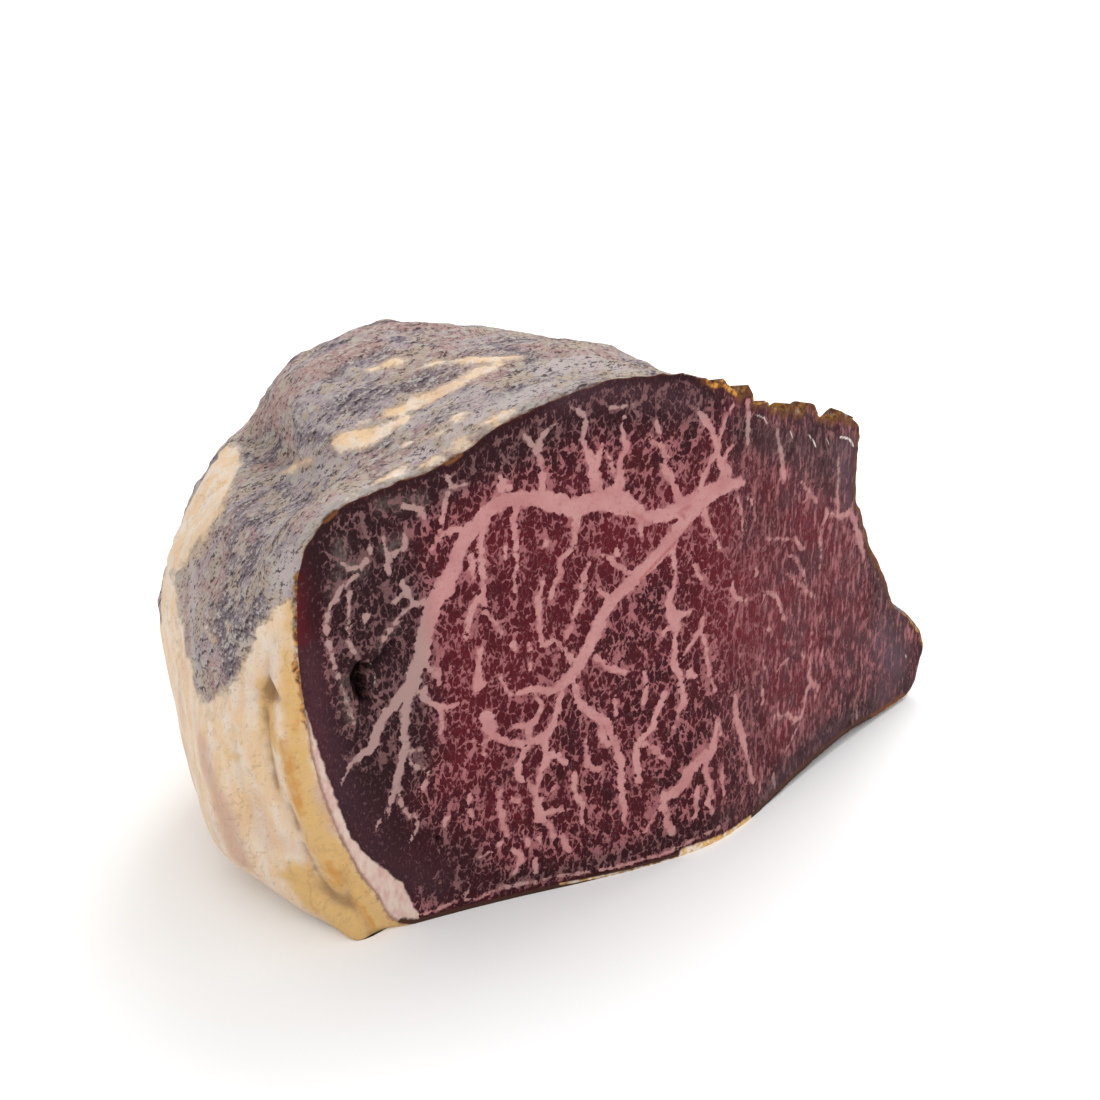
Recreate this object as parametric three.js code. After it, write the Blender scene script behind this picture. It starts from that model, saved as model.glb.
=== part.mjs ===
// Half of a dry-cured beef joint, lying on its underside with the cut end towards the viewer.
// Millimetres, +Z up. +X runs along the cut to the viewer's right, +Y runs into the joint.
// The joint is one closed solid: the cut, its sharp rim and the rind-covered flank behind it.
// Until the last step everything is placed from the cut's own corner, and then the solid is
// moved so that its origin is the centre of the underside's box.

import * as THREE from 'three';

// Cut end: flat on the left, turned back to the right of a soft upright ridge
const RIDGE_X = 62;
const RIDGE_SOFTNESS = 10;
const TURN_DEGREES = 24;
const TOE_BULGE = { x: 42, halfWidth: 42, height: 34, forward: 5 };
const CUT_CENTRE = { x: 42, z: 62 };
const CUT_WAVE = { size: 30, height: 0.5 };

// Rim of the cut, seen square on, anticlockwise from the foot of the fat side
const RIM = [
  [-31, 0], [12, 0], [52, 0], [78, 0], [98, 2], [121, 3], [140, 1.5], [152, 1.5],
  [158, 4], [161, 11], [160, 18], [153, 27], [143.5, 36], [137.5, 47], [128.5, 62], [121, 78],
  [120, 91], [117.5, 102.5], [106, 107], [96, 113], [82, 118.5], [71, 125], [59, 132.5], [47, 138],
  [34, 140.2], [22, 140], [10, 138.3], [-4, 134.5], [-16, 128.5], [-30, 125.2], [-45, 122.5],
  [-54, 116.5], [-58.5, 106], [-59.5, 87], [-58.5, 70], [-56.5, 53], [-53, 39], [-48, 25],
  [-41.5, 12.5],
];
const RIM_LEFT = -60;
const RIM_RIGHT = 161;
const RIM_TOP = 140;
const RIM_BOTTOM = -2;

// Dried crags on the thin right-hand top of the rim: x, height, half width
const CRAGS = [
  [59.5, 2.0, 2.2], [64, 1.6, 1.8], [69, 4.6, 2.4], [77, 2.2, 2.4], [82, 2.0, 2.0],
  [88, 2.8, 2.6], [95, 2.6, 2.8], [110, 2.6, 3.4], [117, 2.2, 2.4],
];
const CRAG_STRETCH = { fromX: 55, aboveZ: 95 };
const CRAG_REACH = 9;

// Sections of the joint behind the cut: how far they reach, and where crest and waist lie
const SECTIONS = [
  { depth: 0, left: -60, right: 161, top: 140, bottom: -2, crestX: 34, waistZ: 66 },
  { depth: 10, left: -69, right: 158, top: 140, bottom: -8, crestX: 28, waistZ: 66 },
  { depth: 28, left: -74, right: 150, top: 139.5, bottom: -14, crestX: 18, waistZ: 66 },
  { depth: 50, left: -72.5, right: 137, top: 138, bottom: -17, crestX: 4, waistZ: 65 },
  { depth: 76, left: -67, right: 116, top: 134, bottom: -15, crestX: -2, waistZ: 63 },
  { depth: 100, left: -52, right: 94, top: 119, bottom: -8, crestX: 2, waistZ: 60 },
  { depth: 120, left: -29, right: 68, top: 97, bottom: 8, crestX: 8, waistZ: 57 },
  { depth: 132, left: -6, right: 42, top: 75, bottom: 28, crestX: 14, waistZ: 54 },
  { depth: 137, left: 15, right: 17, top: 55, bottom: 53, crestX: 16, waistZ: 54 },
];
const BACK = SECTIONS[SECTIONS.length - 1];

// How square each quarter of a section is: 2 is an ellipse, more is boxier
const SQUARENESS = { base: 2.2, upRight: -0.45, upLeft: -0.3, downLeft: 0.6, downRight: 0.2 };

// How far the waist sinks towards the thin end
const TAPER_DROP = 46;

// How deep the rim's own outline still shows, on the fat side and at the thin end
const RIM_BLEND_DEPTH = { left: 26, right: 74 };

// Lumps and hollows of the flank: place, reach and push along x, y and z
const LUMPS = [
  { name: 'notch under the upper lobe', at: [-52, 58, 118], reach: [16, 32, 7], push: [7, 0, -4.5] },
  { name: 'edge of the upper lobe', at: [-45, 56, 130], reach: [12, 30, 8], push: [-2.5, 0, 2.5] },
  { name: 'fat roll past the cut', at: [-43, 7, 3], reach: [13, 14, 16], push: [-1, -13, 0] },
  { name: 'low corner of the fat', at: [-66, 26, 14], reach: [16, 26, 16], push: [-4, 0, -3] },
  { name: 'crest of the upper lobe', at: [-20, 76, 134], reach: [30, 26, 16], push: [0, 0, 2.5] },
  { name: 'shoulder behind the rim', at: [58, 14, 134], reach: [18, 18, 16], push: [0, 0, 4] },
  { name: 'muscle seam across the back', at: [40, 112, 92], reach: [60, 30, 7], push: [0, -3, -2] },
  { name: 'muscle seam down the back', at: [-34, 104, 50], reach: [9, 30, 44], push: [3, -4, 0] },
  { name: 'hollow of the thin end', at: [112, 76, 52], reach: [26, 30, 26], push: [-3, -5, -2] },
];
const LUMP_START = 13;

// Uneven relief of the flank, fading in behind the rim
const RELIEF = [{ size: 34, height: 1.7 }, { size: 15, height: 0.9 }];
const RELIEF_START = 14;
const BODY_HEART = { x: 30, y: 46, z: 60 };

// Grid of the solid
const COLUMNS = 136;
const CRAG_DENSITY = 3;
const CUT_RINGS = 9;
const FLANK_RINGS = 29;
const RING_CROWDING = 1.15;
const CURVE_STEPS = 24;

function ramp(from, to, value) {
  const t = THREE.MathUtils.clamp((value - from) / (to - from), 0, 1);
  return t * t * (3 - 2 * t);
}

// Value noise from -1 to 1, one cell per size
function cornerValue(ix, iy, iz) {
  let h = Math.imul(ix, 374761393) + Math.imul(iy, 668265263) + Math.imul(iz, 2246822519);
  h = Math.imul(h ^ (h >>> 13), 1274126177);
  return ((h ^ (h >>> 16)) >>> 0) / 4294967296;
}

function noise(x, y, z, size) {
  const cell = [x, y, z].map((value) => Math.floor(value / size));
  const [u, v, w] = [x, y, z].map((value, k) => {
    const t = value / size - cell[k];
    return t * t * (3 - 2 * t);
  });
  let total = 0;
  for (const dx of [0, 1]) {
    for (const dy of [0, 1]) {
      for (const dz of [0, 1]) {
        const weight = (dx ? u : 1 - u) * (dy ? v : 1 - v) * (dz ? w : 1 - w);
        total += weight * cornerValue(cell[0] + dx, cell[1] + dy, cell[2] + dz);
      }
    }
  }
  return total * 2 - 1;
}

// How far back the cut lies at a place on it
function cutDepth(x, z) {
  const past = x - RIDGE_X;
  const slope = Math.tan(THREE.MathUtils.degToRad(TURN_DEGREES));
  const turned = slope * 0.5 * (past + Math.hypot(past, RIDGE_SOFTNESS));
  const across = (x - TOE_BULGE.x) / TOE_BULGE.halfWidth;
  const up = z / TOE_BULGE.height;
  return turned - TOE_BULGE.forward * Math.exp(-across * across - up * up);
}

function cragHeight(x, z) {
  if (x < CRAG_STRETCH.fromX || z < CRAG_STRETCH.aboveZ) return 0;
  const heights = CRAGS.map(([at, height, half]) => height * Math.max(0, 1 - Math.abs(x - at) / half));
  return Math.max(...heights);
}

// Closed smooth curve through the rim's corners, as many short steps
function rimCurve() {
  const steps = [];
  const count = RIM.length;
  for (let i = 0; i < count; i += 1) {
    const [p0, p1, p2, p3] = [-1, 0, 1, 2].map((k) => RIM[(i + k + count) % count]);
    for (let step = 0; step < CURVE_STEPS; step += 1) {
      const t = step / CURVE_STEPS;
      steps.push([0, 1].map((k) => 0.5 * (2 * p1[k] + (p2[k] - p0[k]) * t
        + (2 * p0[k] - 5 * p1[k] + 4 * p2[k] - p3[k]) * t * t
        + (3 * p1[k] - p0[k] - 3 * p2[k] + p3[k]) * t * t * t)));
    }
  }
  return steps;
}

// Columns of the grid where they start on the rim, crowded together along the crags
function rimColumns() {
  const curve = rimCurve();
  const travelled = [0];
  for (let i = 0; i < curve.length; i += 1) {
    const [x0, z0] = curve[i];
    const [x1, z1] = curve[(i + 1) % curve.length];
    const craggy = x0 > CRAG_STRETCH.fromX && z0 > CRAG_STRETCH.aboveZ;
    travelled.push(travelled[i] + Math.hypot(x1 - x0, z1 - z0) * (craggy ? CRAG_DENSITY : 1));
  }
  const total = travelled[curve.length];
  const columns = [];
  let i = 0;
  for (let column = 0; column < COLUMNS; column += 1) {
    const wanted = (column / COLUMNS) * total;
    while (travelled[i + 1] < wanted) i += 1;
    const t = (wanted - travelled[i]) / (travelled[i + 1] - travelled[i]);
    const [x0, z0] = curve[i];
    const [x1, z1] = curve[(i + 1) % curve.length];
    columns.push({ x: x0 + (x1 - x0) * t, z: z0 + (z1 - z0) * t });
  }
  return columns;
}

// Smooth run of one measure through the sections
function sectionValue(name, depth) {
  const last = SECTIONS.length - 1;
  let i = 0;
  while (i < last - 1 && SECTIONS[i + 1].depth < depth) i += 1;
  const slope = (k) => {
    const before = SECTIONS[Math.max(k - 1, 0)];
    const after = SECTIONS[Math.min(k + 1, last)];
    return (after[name] - before[name]) / (after.depth - before.depth);
  };
  const from = SECTIONS[i];
  const to = SECTIONS[i + 1];
  const span = to.depth - from.depth;
  const t = (depth - from.depth) / span;
  return (2 * t ** 3 - 3 * t ** 2 + 1) * from[name] + (t ** 3 - 2 * t ** 2 + t) * span * slope(i)
    + (3 * t ** 2 - 2 * t ** 3) * to[name] + (t ** 3 - t ** 2) * span * slope(i + 1);
}

// Rounded-box section of the joint in the direction of one column
function bodyPoint(section, cosine, sine, depth) {
  const { left, right, top, bottom, crestX, waistZ } = section;
  const halfWidth = cosine > 0 ? right - crestX : crestX - left;
  const halfHeight = sine > 0 ? top - waistZ : waistZ - bottom;
  const sideways = [ramp(-0.2, 0.6, cosine), ramp(-0.2, 0.6, -cosine)];
  const upward = [ramp(-0.2, 0.6, sine), ramp(-0.2, 0.6, -sine)];
  const power = SQUARENESS.base + SQUARENESS.upRight * sideways[0] * upward[0]
    + SQUARENESS.upLeft * sideways[1] * upward[0] + SQUARENESS.downLeft * sideways[1] * upward[1]
    + SQUARENESS.downRight * sideways[0] * upward[1];
  const sum = Math.abs(cosine / halfWidth) ** power + Math.abs(sine / halfHeight) ** power;
  const reach = sum ** (-1 / power);
  const x = crestX + reach * cosine;
  const along = THREE.MathUtils.clamp((x - crestX) / (right - crestX), 0, 1);
  const drop = TAPER_DROP * along * along * Math.sin((1 - depth / BACK.depth) * Math.PI / 2);
  const squeeze = sine < 0 ? 1 - drop / (waistZ - bottom) : 1;
  return { x, z: waistZ - drop + reach * sine * squeeze };
}

// The rim's outline, stretched to the section's reach; the thin end isn't pressed down
function outlinePoint(section, column, towardsThinEnd) {
  const { left, right, top, crestX, waistZ } = section;
  const bottom = THREE.MathUtils.lerp(section.bottom, RIM_BOTTOM, towardsThinEnd);
  const dx = column.x - CUT_CENTRE.x;
  const dz = column.z - CUT_CENTRE.z;
  const stretchX = dx > 0 ? (right - crestX) / (RIM_RIGHT - CUT_CENTRE.x)
    : (crestX - left) / (CUT_CENTRE.x - RIM_LEFT);
  const stretchZ = dz > 0 ? (top - waistZ) / (RIM_TOP - CUT_CENTRE.z)
    : (waistZ - bottom) / (CUT_CENTRE.z - RIM_BOTTOM);
  return { x: crestX + dx * stretchX, z: waistZ + dz * stretchZ };
}

function addLumps(point, depth) {
  const start = [point.x, point.y, point.z];
  const strength = ramp(0, LUMP_START, depth);
  for (const { at, reach, push } of LUMPS) {
    const away = start.reduce((sum, value, k) => sum + ((value - at[k]) / reach[k]) ** 2, 0);
    const amount = strength * Math.exp(-away);
    point.add(new THREE.Vector3(...push).multiplyScalar(amount));
  }
}

function addRelief(point, depth) {
  const strength = ramp(0, RELIEF_START, depth);
  const outward = point.clone().sub(new THREE.Vector3(BODY_HEART.x, BODY_HEART.y, BODY_HEART.z));
  outward.normalize();
  let height = 0;
  for (const layer of RELIEF) height += layer.height * noise(point.x, point.y, point.z, layer.size);
  point.addScaledVector(outward, height * strength);
}

function flankPoint(column, depth) {
  const section = { depth };
  for (const name of ['left', 'right', 'top', 'bottom', 'crestX', 'waistZ']) {
    section[name] = sectionValue(name, depth);
  }
  const dx = column.x - CUT_CENTRE.x;
  const dz = column.z - CUT_CENTRE.z;
  const distance = Math.hypot(dx, dz);
  const body = bodyPoint(section, dx / distance, dz / distance, depth);
  const towardsThinEnd = ramp(0.1, 0.8, dx / distance);
  const outline = outlinePoint(section, column, towardsThinEnd);
  const { left, right } = RIM_BLEND_DEPTH;
  const blend = ramp(0, THREE.MathUtils.lerp(left, right, towardsThinEnd), depth);
  const start = cutDepth(column.x, column.z);
  const crag = cragHeight(column.x, column.z) * (1 - ramp(0, CRAG_REACH, depth));
  const point = new THREE.Vector3(
    THREE.MathUtils.lerp(outline.x, body.x, blend),
    THREE.MathUtils.lerp(start, BACK.depth, depth / BACK.depth),
    THREE.MathUtils.lerp(outline.z, body.z, blend) + crag,
  );
  addLumps(point, depth);
  addRelief(point, depth);
  point.z = Math.max(point.z, 0);
  return point;
}

function rimPoint(column) {
  const z = Math.max(column.z, 0) + cragHeight(column.x, column.z);
  return new THREE.Vector3(column.x, cutDepth(column.x, column.z), z);
}

function cutPoint(rim, share) {
  const x = CUT_CENTRE.x + (rim.x - CUT_CENTRE.x) * share;
  const z = CUT_CENTRE.z + (rim.z - CUT_CENTRE.z) * share;
  const wave = CUT_WAVE.height * noise(x, 0, z, CUT_WAVE.size) * (1 - share);
  return new THREE.Vector3(x, cutDepth(x, z) + wave, z);
}

// All rings from the middle of the cut, over the rim and along the flank to the back
function jointRings() {
  const columns = rimColumns();
  const rim = columns.map(rimPoint);
  const rings = [];
  for (let ring = 1; ring < CUT_RINGS; ring += 1) {
    rings.push(rim.map((point) => cutPoint(point, ring / CUT_RINGS)));
  }
  rings.push(rim);
  for (let ring = 1; ring < FLANK_RINGS; ring += 1) {
    const share = Math.sin((ring / FLANK_RINGS) * Math.PI / 2) ** RING_CROWDING;
    rings.push(columns.map((column) => flankPoint(column, BACK.depth * share)));
  }
  return rings;
}

function closeRings(rings) {
  const front = cutPoint({ x: CUT_CENTRE.x, z: CUT_CENTRE.z }, 0);
  const back = new THREE.Vector3(BACK.crestX, BACK.depth, BACK.waistZ);
  const points = [front, ...rings.flat(), back];
  const backIndex = points.length - 1;
  const at = (ring, column) => 1 + ring * COLUMNS + (column % COLUMNS);
  const triangles = [];
  for (let column = 0; column < COLUMNS; column += 1) {
    triangles.push(0, at(0, column), at(0, column + 1));
    for (let ring = 0; ring < rings.length - 1; ring += 1) {
      const [a, b] = [at(ring, column), at(ring, column + 1)];
      const [c, d] = [at(ring + 1, column), at(ring + 1, column + 1)];
      triangles.push(a, c, d, a, d, b);
    }
    triangles.push(backIndex, at(rings.length - 1, column + 1), at(rings.length - 1, column));
  }
  const geometry = new THREE.BufferGeometry();
  const numbers = points.flatMap((point) => point.toArray());
  geometry.setAttribute('position', new THREE.Float32BufferAttribute(numbers, 3));
  geometry.setIndex(triangles);
  return geometry;
}

function standOnOrigin(geometry) {
  geometry.computeBoundingBox();
  const { min, max } = geometry.boundingBox;
  geometry.translate(-(min.x + max.x) / 2, -(min.y + max.y) / 2, -min.z);
  geometry.computeVertexNormals();
  return geometry;
}

const curedMeat = new THREE.MeshStandardMaterial({ color: '#6b3436', roughness: 0.6, metalness: 0 });
const joint = new THREE.Mesh(standOnOrigin(closeRings(jointRings())), curedMeat);
joint.name = 'cured_beef';

const part = new THREE.Group();
part.add(joint);

export default part;
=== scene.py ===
import math

import bpy
import numpy as np
from mathutils import Matrix, Vector, geometry, kdtree
from mathutils.bvhtree import BVHTree


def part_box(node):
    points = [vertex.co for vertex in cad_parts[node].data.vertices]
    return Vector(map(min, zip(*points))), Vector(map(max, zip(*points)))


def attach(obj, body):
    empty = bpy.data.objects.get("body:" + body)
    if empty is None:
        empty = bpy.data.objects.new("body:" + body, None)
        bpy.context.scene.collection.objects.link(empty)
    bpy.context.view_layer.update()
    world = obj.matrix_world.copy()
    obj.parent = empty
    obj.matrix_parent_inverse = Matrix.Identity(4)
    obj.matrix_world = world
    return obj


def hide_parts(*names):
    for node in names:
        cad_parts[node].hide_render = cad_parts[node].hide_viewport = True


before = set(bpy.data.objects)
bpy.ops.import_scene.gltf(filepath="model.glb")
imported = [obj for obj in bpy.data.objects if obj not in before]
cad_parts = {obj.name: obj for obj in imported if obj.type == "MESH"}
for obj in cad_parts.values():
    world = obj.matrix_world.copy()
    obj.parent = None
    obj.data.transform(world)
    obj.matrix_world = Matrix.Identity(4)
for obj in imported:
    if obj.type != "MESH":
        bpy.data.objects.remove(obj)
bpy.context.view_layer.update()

NODE = "cured_beef"
METRE = 0.001

# Form of the joint in millimetres from the corner of its cut, as its solid has it
RIDGE_X = 62
RIDGE_SOFTNESS = 10
TURN_DEGREES = 24
TOE_BULGE = {"x": 42, "half_width": 42, "height": 34, "forward": 5}
CUT_CENTRE = (42, 62)
CUT_WAVE = {"size": 30, "height": 0.5, "clear_of_rim": 40}
RIM = [
    (-31, 0), (12, 0), (52, 0), (78, 0), (98, 2), (121, 3), (140, 1.5), (152, 1.5),
    (158, 4), (161, 11), (160, 18), (153, 27), (143.5, 36), (137.5, 47), (128.5, 62), (121, 78),
    (120, 91), (117.5, 102.5), (106, 107), (96, 113), (82, 118.5), (71, 125), (59, 132.5), (47, 138),
    (34, 140.2), (22, 140), (10, 138.3), (-4, 134.5), (-16, 128.5), (-30, 125.2), (-45, 122.5),
    (-54, 116.5), (-58.5, 106), (-59.5, 87), (-58.5, 70), (-56.5, 53), (-53, 39), (-48, 25),
    (-41.5, 12.5),
]
RIM_LEFT, RIM_RIGHT, RIM_TOP, RIM_BOTTOM = -60, 161, 140, -2
CRAGS = [
    (59.5, 2.0, 2.2), (64, 1.6, 1.8), (69, 4.6, 2.4), (77, 2.2, 2.4), (82, 2.0, 2.0),
    (88, 2.8, 2.6), (95, 2.6, 2.8), (110, 2.6, 3.4), (117, 2.2, 2.4),
]
CRAG_STRETCH = {"from_x": 55, "above_z": 95}
CRAG_FADE = {"x": (52, 62), "z": (92, 104)}
CRAG_REACH = 9
# Trough behind the crags: how deep, and the depths between which it starts and ends
CRAG_TROUGH = {"deep": 2.0, "start": (0.5, 4), "end": (14, 34)}
# Breaks of the rim: size of a break, height in general and height on the crags
RIM_BREAKS = [(8, 0.55, 0.5), (3.4, 0.4, 1.0), (1.5, 0.15, 0.75)]
RIM_BREAK_REACH = 3.5
RIM_BREAK_FLOOR = 6
# The rim is smoother where it is fat: from none to all of this over these ranges of x and z
SMOOTH_RIM = {"share": 0.8, "x": (-10, -30), "z": (118, 104)}

# Sections behind the cut: depth, left, right, top, bottom, crest x, waist z
SECTIONS = [
    (0, -60, 161, 140, -2, 34, 66),
    (10, -69, 158, 140, -8, 28, 66),
    (28, -74, 150, 139.5, -14, 18, 66),
    (50, -72.5, 137, 138, -17, 4, 65),
    (76, -67, 116, 134, -15, -2, 63),
    (100, -52, 94, 119, -8, 2, 60),
    (120, -29, 68, 97, 8, 8, 57),
    (132, -6, 42, 75, 28, 14, 54),
    (137, 15, 17, 55, 53, 16, 54),
]
BACK_DEPTH, _, _, _, _, BACK_X, BACK_Z = SECTIONS[-1]
SQUARENESS = {"base": 2.2, "up_right": -0.45, "up_left": -0.3, "down_left": 0.6, "down_right": 0.2}
# Over this range of a direction's cosine or sine one side goes over into the next
CORNER_FADE = (-0.2, 0.6)
THIN_END_FADE = (0.1, 0.8)
TAPER_DROP = 46
RIM_BLEND_DEPTH = {"left": 26, "right": 74}

# Lumps and hollows of the flank: place, reach and push along x, y and z
LUMPS = [
    ((-52, 58, 118), (16, 32, 7), (7, 0, -4.5)),
    ((-45, 56, 130), (12, 30, 8), (-2.5, 0, 2.5)),
    ((-43, 7, 3), (13, 14, 16), (-1, -13, 0)),
    ((-66, 26, 14), (16, 26, 16), (-4, 0, -3)),
    ((-20, 76, 134), (30, 26, 16), (0, 0, 2.5)),
    ((58, 14, 134), (18, 18, 16), (0, 0, 4)),
    ((40, 112, 92), (60, 30, 7), (0, -3, -2)),
    ((-34, 104, 50), (9, 30, 44), (3, -4, 0)),
    ((112, 76, 52), (26, 30, 26), (-3, -5, -2)),
]
LUMP_START = 13
RELIEF = [(34, 1.7), (15, 0.9)]
RELIEF_START = 14
BODY_HEART = (30, 46, 60)

# Grid of the fine mesh
FINE_COLUMNS = 960
CRAG_DENSITY = 1.7
CUT_SPACING = 0.735
CUT_MARGIN = 0.36
CUT_REACH = 125
RIM_DEPTHS = [0.5, 1.0, 1.6, 2.3, 3.1, 4.0, 5.0]
FLANK_RINGS = 78
RING_POWER = 1.15
# Behind the rim every second column is kept, and every fourth from this depth on
THIN_FROM_DEPTH = 124
CURVE_STEPS = 24

# Bake map: the flank's strip below, the cut above it, as shares of the map
UV_MARGIN = 0.01
FLANK_UV_HEIGHT = 0.34
CUT_UV = {"bottom": 0.36, "height": 0.62, "of": 145, "side_margin": 2}

# Value noise: factors of a cell's three numbers and of the mixing of their bits
HASH_FACTORS = (374761393, 668265263, 2246822519)
HASH_MIX = 1274126177
HASH_MASK = 0xFFFFFFFF

# The photo's camera: degrees, pixels of its 1100 px frame and millimetres
PHOTO_SIZE = 1100
CAMERA_AZIMUTH = -28
CAMERA_ELEVATION = 25
CAMERA_FIELD = 25
ANCHOR_PIXEL = (520, 893)
ANCHOR_DISTANCE = 658
SENSOR_WIDTH = 36

# Fat of the cut traced on the photo: pixel x, pixel y, half width in millimetres
MAIN_SEAMS = [
    [(446, 590, 2.4), (450, 576, 2.4), (461, 547, 2.5), (478, 523, 2.3), (494, 506, 2.2), (513, 499, 2.1),
     (536, 498, 2.3), (557, 503, 2.9), (574, 506, 2.9), (603, 500, 3.4), (622, 503, 3.3), (634, 509, 2.3),
     (645, 518, 2.0), (660, 515, 2.1), (678, 510, 2.6), (699, 499, 2.9), (714, 491, 2.9), (727, 485, 2.3),
     (744, 483, 0.9)],
    [(698, 503, 2.4), (679, 528, 2.2), (662, 551, 2.3), (643, 571, 2.2), (626, 586, 2.2), (613, 600, 2.1),
     (603, 614, 1.9), (595, 633, 1.9), (583, 657, 1.9), (573, 674, 1.9), (560, 686, 1.6), (550, 691, 1.3),
     (539, 689, 1.1), (526, 690, 0.9), (516, 694, 0.6)],
    [(450, 576, 2.4), (440, 590, 2.3), (431, 612, 2.3), (424, 639, 2.3), (421, 656, 2.3), (416, 672, 2.3),
     (409, 688, 2.2), (395, 704, 1.6), (384, 716, 1.4), (376, 734, 1.4), (371, 748, 1.4), (360, 756, 1.0),
     (349, 767, 0.6), (340, 788, 0.3)],
    [(413, 686, 1.6), (407, 704, 1.4), (404, 727, 1.3), (404, 746, 1.3), (401, 765, 1.1), (397, 782, 1.1),
     (391, 801, 0.7), (388, 817, 0.4)],
    [(663, 797, 1.2), (672, 794, 1.5), (682, 785, 1.7), (689, 772, 1.7), (700, 760, 1.9), (711, 752, 1.7),
     (714, 741, 1.1), (717, 728, 0.8), (719, 718, 0.5)],
    [(735, 697, 0.6), (736, 716, 1.3), (739, 727, 1.4), (743, 740, 1.3), (746, 753, 0.8), (750, 767, 0.5),
     (754, 780, 0.4)],
]
UPPER_SPURS = [
    [(502, 490, 1.0), (499, 477, 0.4)],
    [(542, 490, 0.9), (542, 472, 0.7), (539, 453, 0.7), (540, 441, 0.8), (546, 431, 0.6), (554, 424, 0.3)],
    [(539, 455, 0.6), (531, 443, 0.7), (525, 436, 0.3)],
    [(597, 484, 2.2), (593, 468, 1.2), (586, 450, 0.9), (582, 440, 0.8), (584, 430, 0.7), (585, 419, 0.6),
     (580, 412, 0.5), (572, 407, 0.3)],
    [(597, 468, 0.8), (599, 453, 0.5), (603, 441, 0.3)],
    [(619, 484, 1.9), (620, 472, 1.0), (618, 464, 0.7), (622, 455, 0.8), (626, 446, 0.9), (623, 436, 0.6),
     (622, 426, 0.4), (624, 418, 0.3)],
    [(614, 474, 0.5), (609, 457, 0.4), (603, 449, 0.3)],
    [(679, 500, 0.9), (672, 482, 1.0), (666, 468, 0.9), (666, 459, 0.7), (662, 447, 0.6), (653, 441, 0.7),
     (649, 434, 0.3)],
    [(699, 490, 0.9), (706, 472, 0.7), (710, 462, 0.6), (716, 453, 0.7), (716, 443, 0.6), (712, 430, 0.8),
     (706, 420, 1.0), (700, 413, 0.8), (691, 407, 0.3)],
    [(724, 476, 1.4), (720, 461, 0.9), (718, 449, 0.7), (722, 432, 0.5), (727, 415, 0.4), (733, 405, 0.3)],
    [(729, 474, 1.0), (725, 462, 0.6), (726, 453, 0.4), (733, 445, 0.3)],
    [(611, 408, 0.4), (634, 405, 0.4)],
    [(656, 420, 0.5), (660, 436, 0.5)],
    [(748, 402, 0.9), (748, 427, 0.7), (747, 450, 0.4)],
    [(776, 422, 0.4), (778, 440, 0.7), (782, 457, 1.0), (782, 473, 1.2), (784, 479, 1.1)],
    [(782, 476, 0.8), (777, 483, 0.3)],
]
LOWER_SPURS = [
    [(487, 520, 1.3), (482, 534, 1.0), (481, 551, 0.8), (482, 570, 0.8), (483, 589, 0.9), (485, 605, 0.5)],
    [(482, 593, 0.9), (473, 607, 1.1), (469, 622, 0.8), (467, 637, 0.8)],
    [(485, 612, 0.6), (492, 620, 0.5), (502, 633, 0.3)],
    [(516, 506, 0.9), (514, 522, 0.7), (514, 534, 0.8), (516, 551, 0.6), (517, 566, 0.5), (515, 580, 0.4),
     (516, 593, 0.3)],
    [(506, 547, 0.5), (505, 560, 0.3)],
    [(471, 553, 0.4), (473, 574, 0.6), (471, 585, 0.3)],
    [(576, 513, 1.6), (575, 532, 1.0), (574, 545, 0.8), (567, 553, 0.7), (560, 561, 0.9), (560, 572, 0.8),
     (554, 585, 0.6), (550, 598, 0.5)],
    [(588, 564, 0.5), (587, 566, 0.6), (582, 583, 0.7), (582, 597, 0.8), (574, 614, 0.6), (572, 627, 0.7),
     (565, 636, 0.9)],
    [(546, 538, 0.5), (547, 543, 0.9)],
    [(641, 526, 1.0), (641, 534, 0.3)],
    [(616, 549, 0.6), (618, 557, 0.5)],
    [(603, 555, 0.3), (613, 562, 0.5), (622, 568, 0.6), (630, 573, 0.8)],
    [(597, 589, 0.3), (605, 595, 0.5), (612, 598, 0.7)],
    [(542, 584, 0.6), (538, 599, 1.1), (538, 612, 0.9), (540, 631, 0.6), (542, 645, 0.9)],
    [(542, 645, 0.8), (556, 641, 0.5), (565, 652, 0.6), (575, 662, 0.9)],
    [(513, 644, 0.9), (514, 649, 0.8)],
    [(530, 645, 0.6), (531, 649, 0.5)],
    [(530, 665, 0.5), (529, 671, 0.3)],
]
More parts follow.
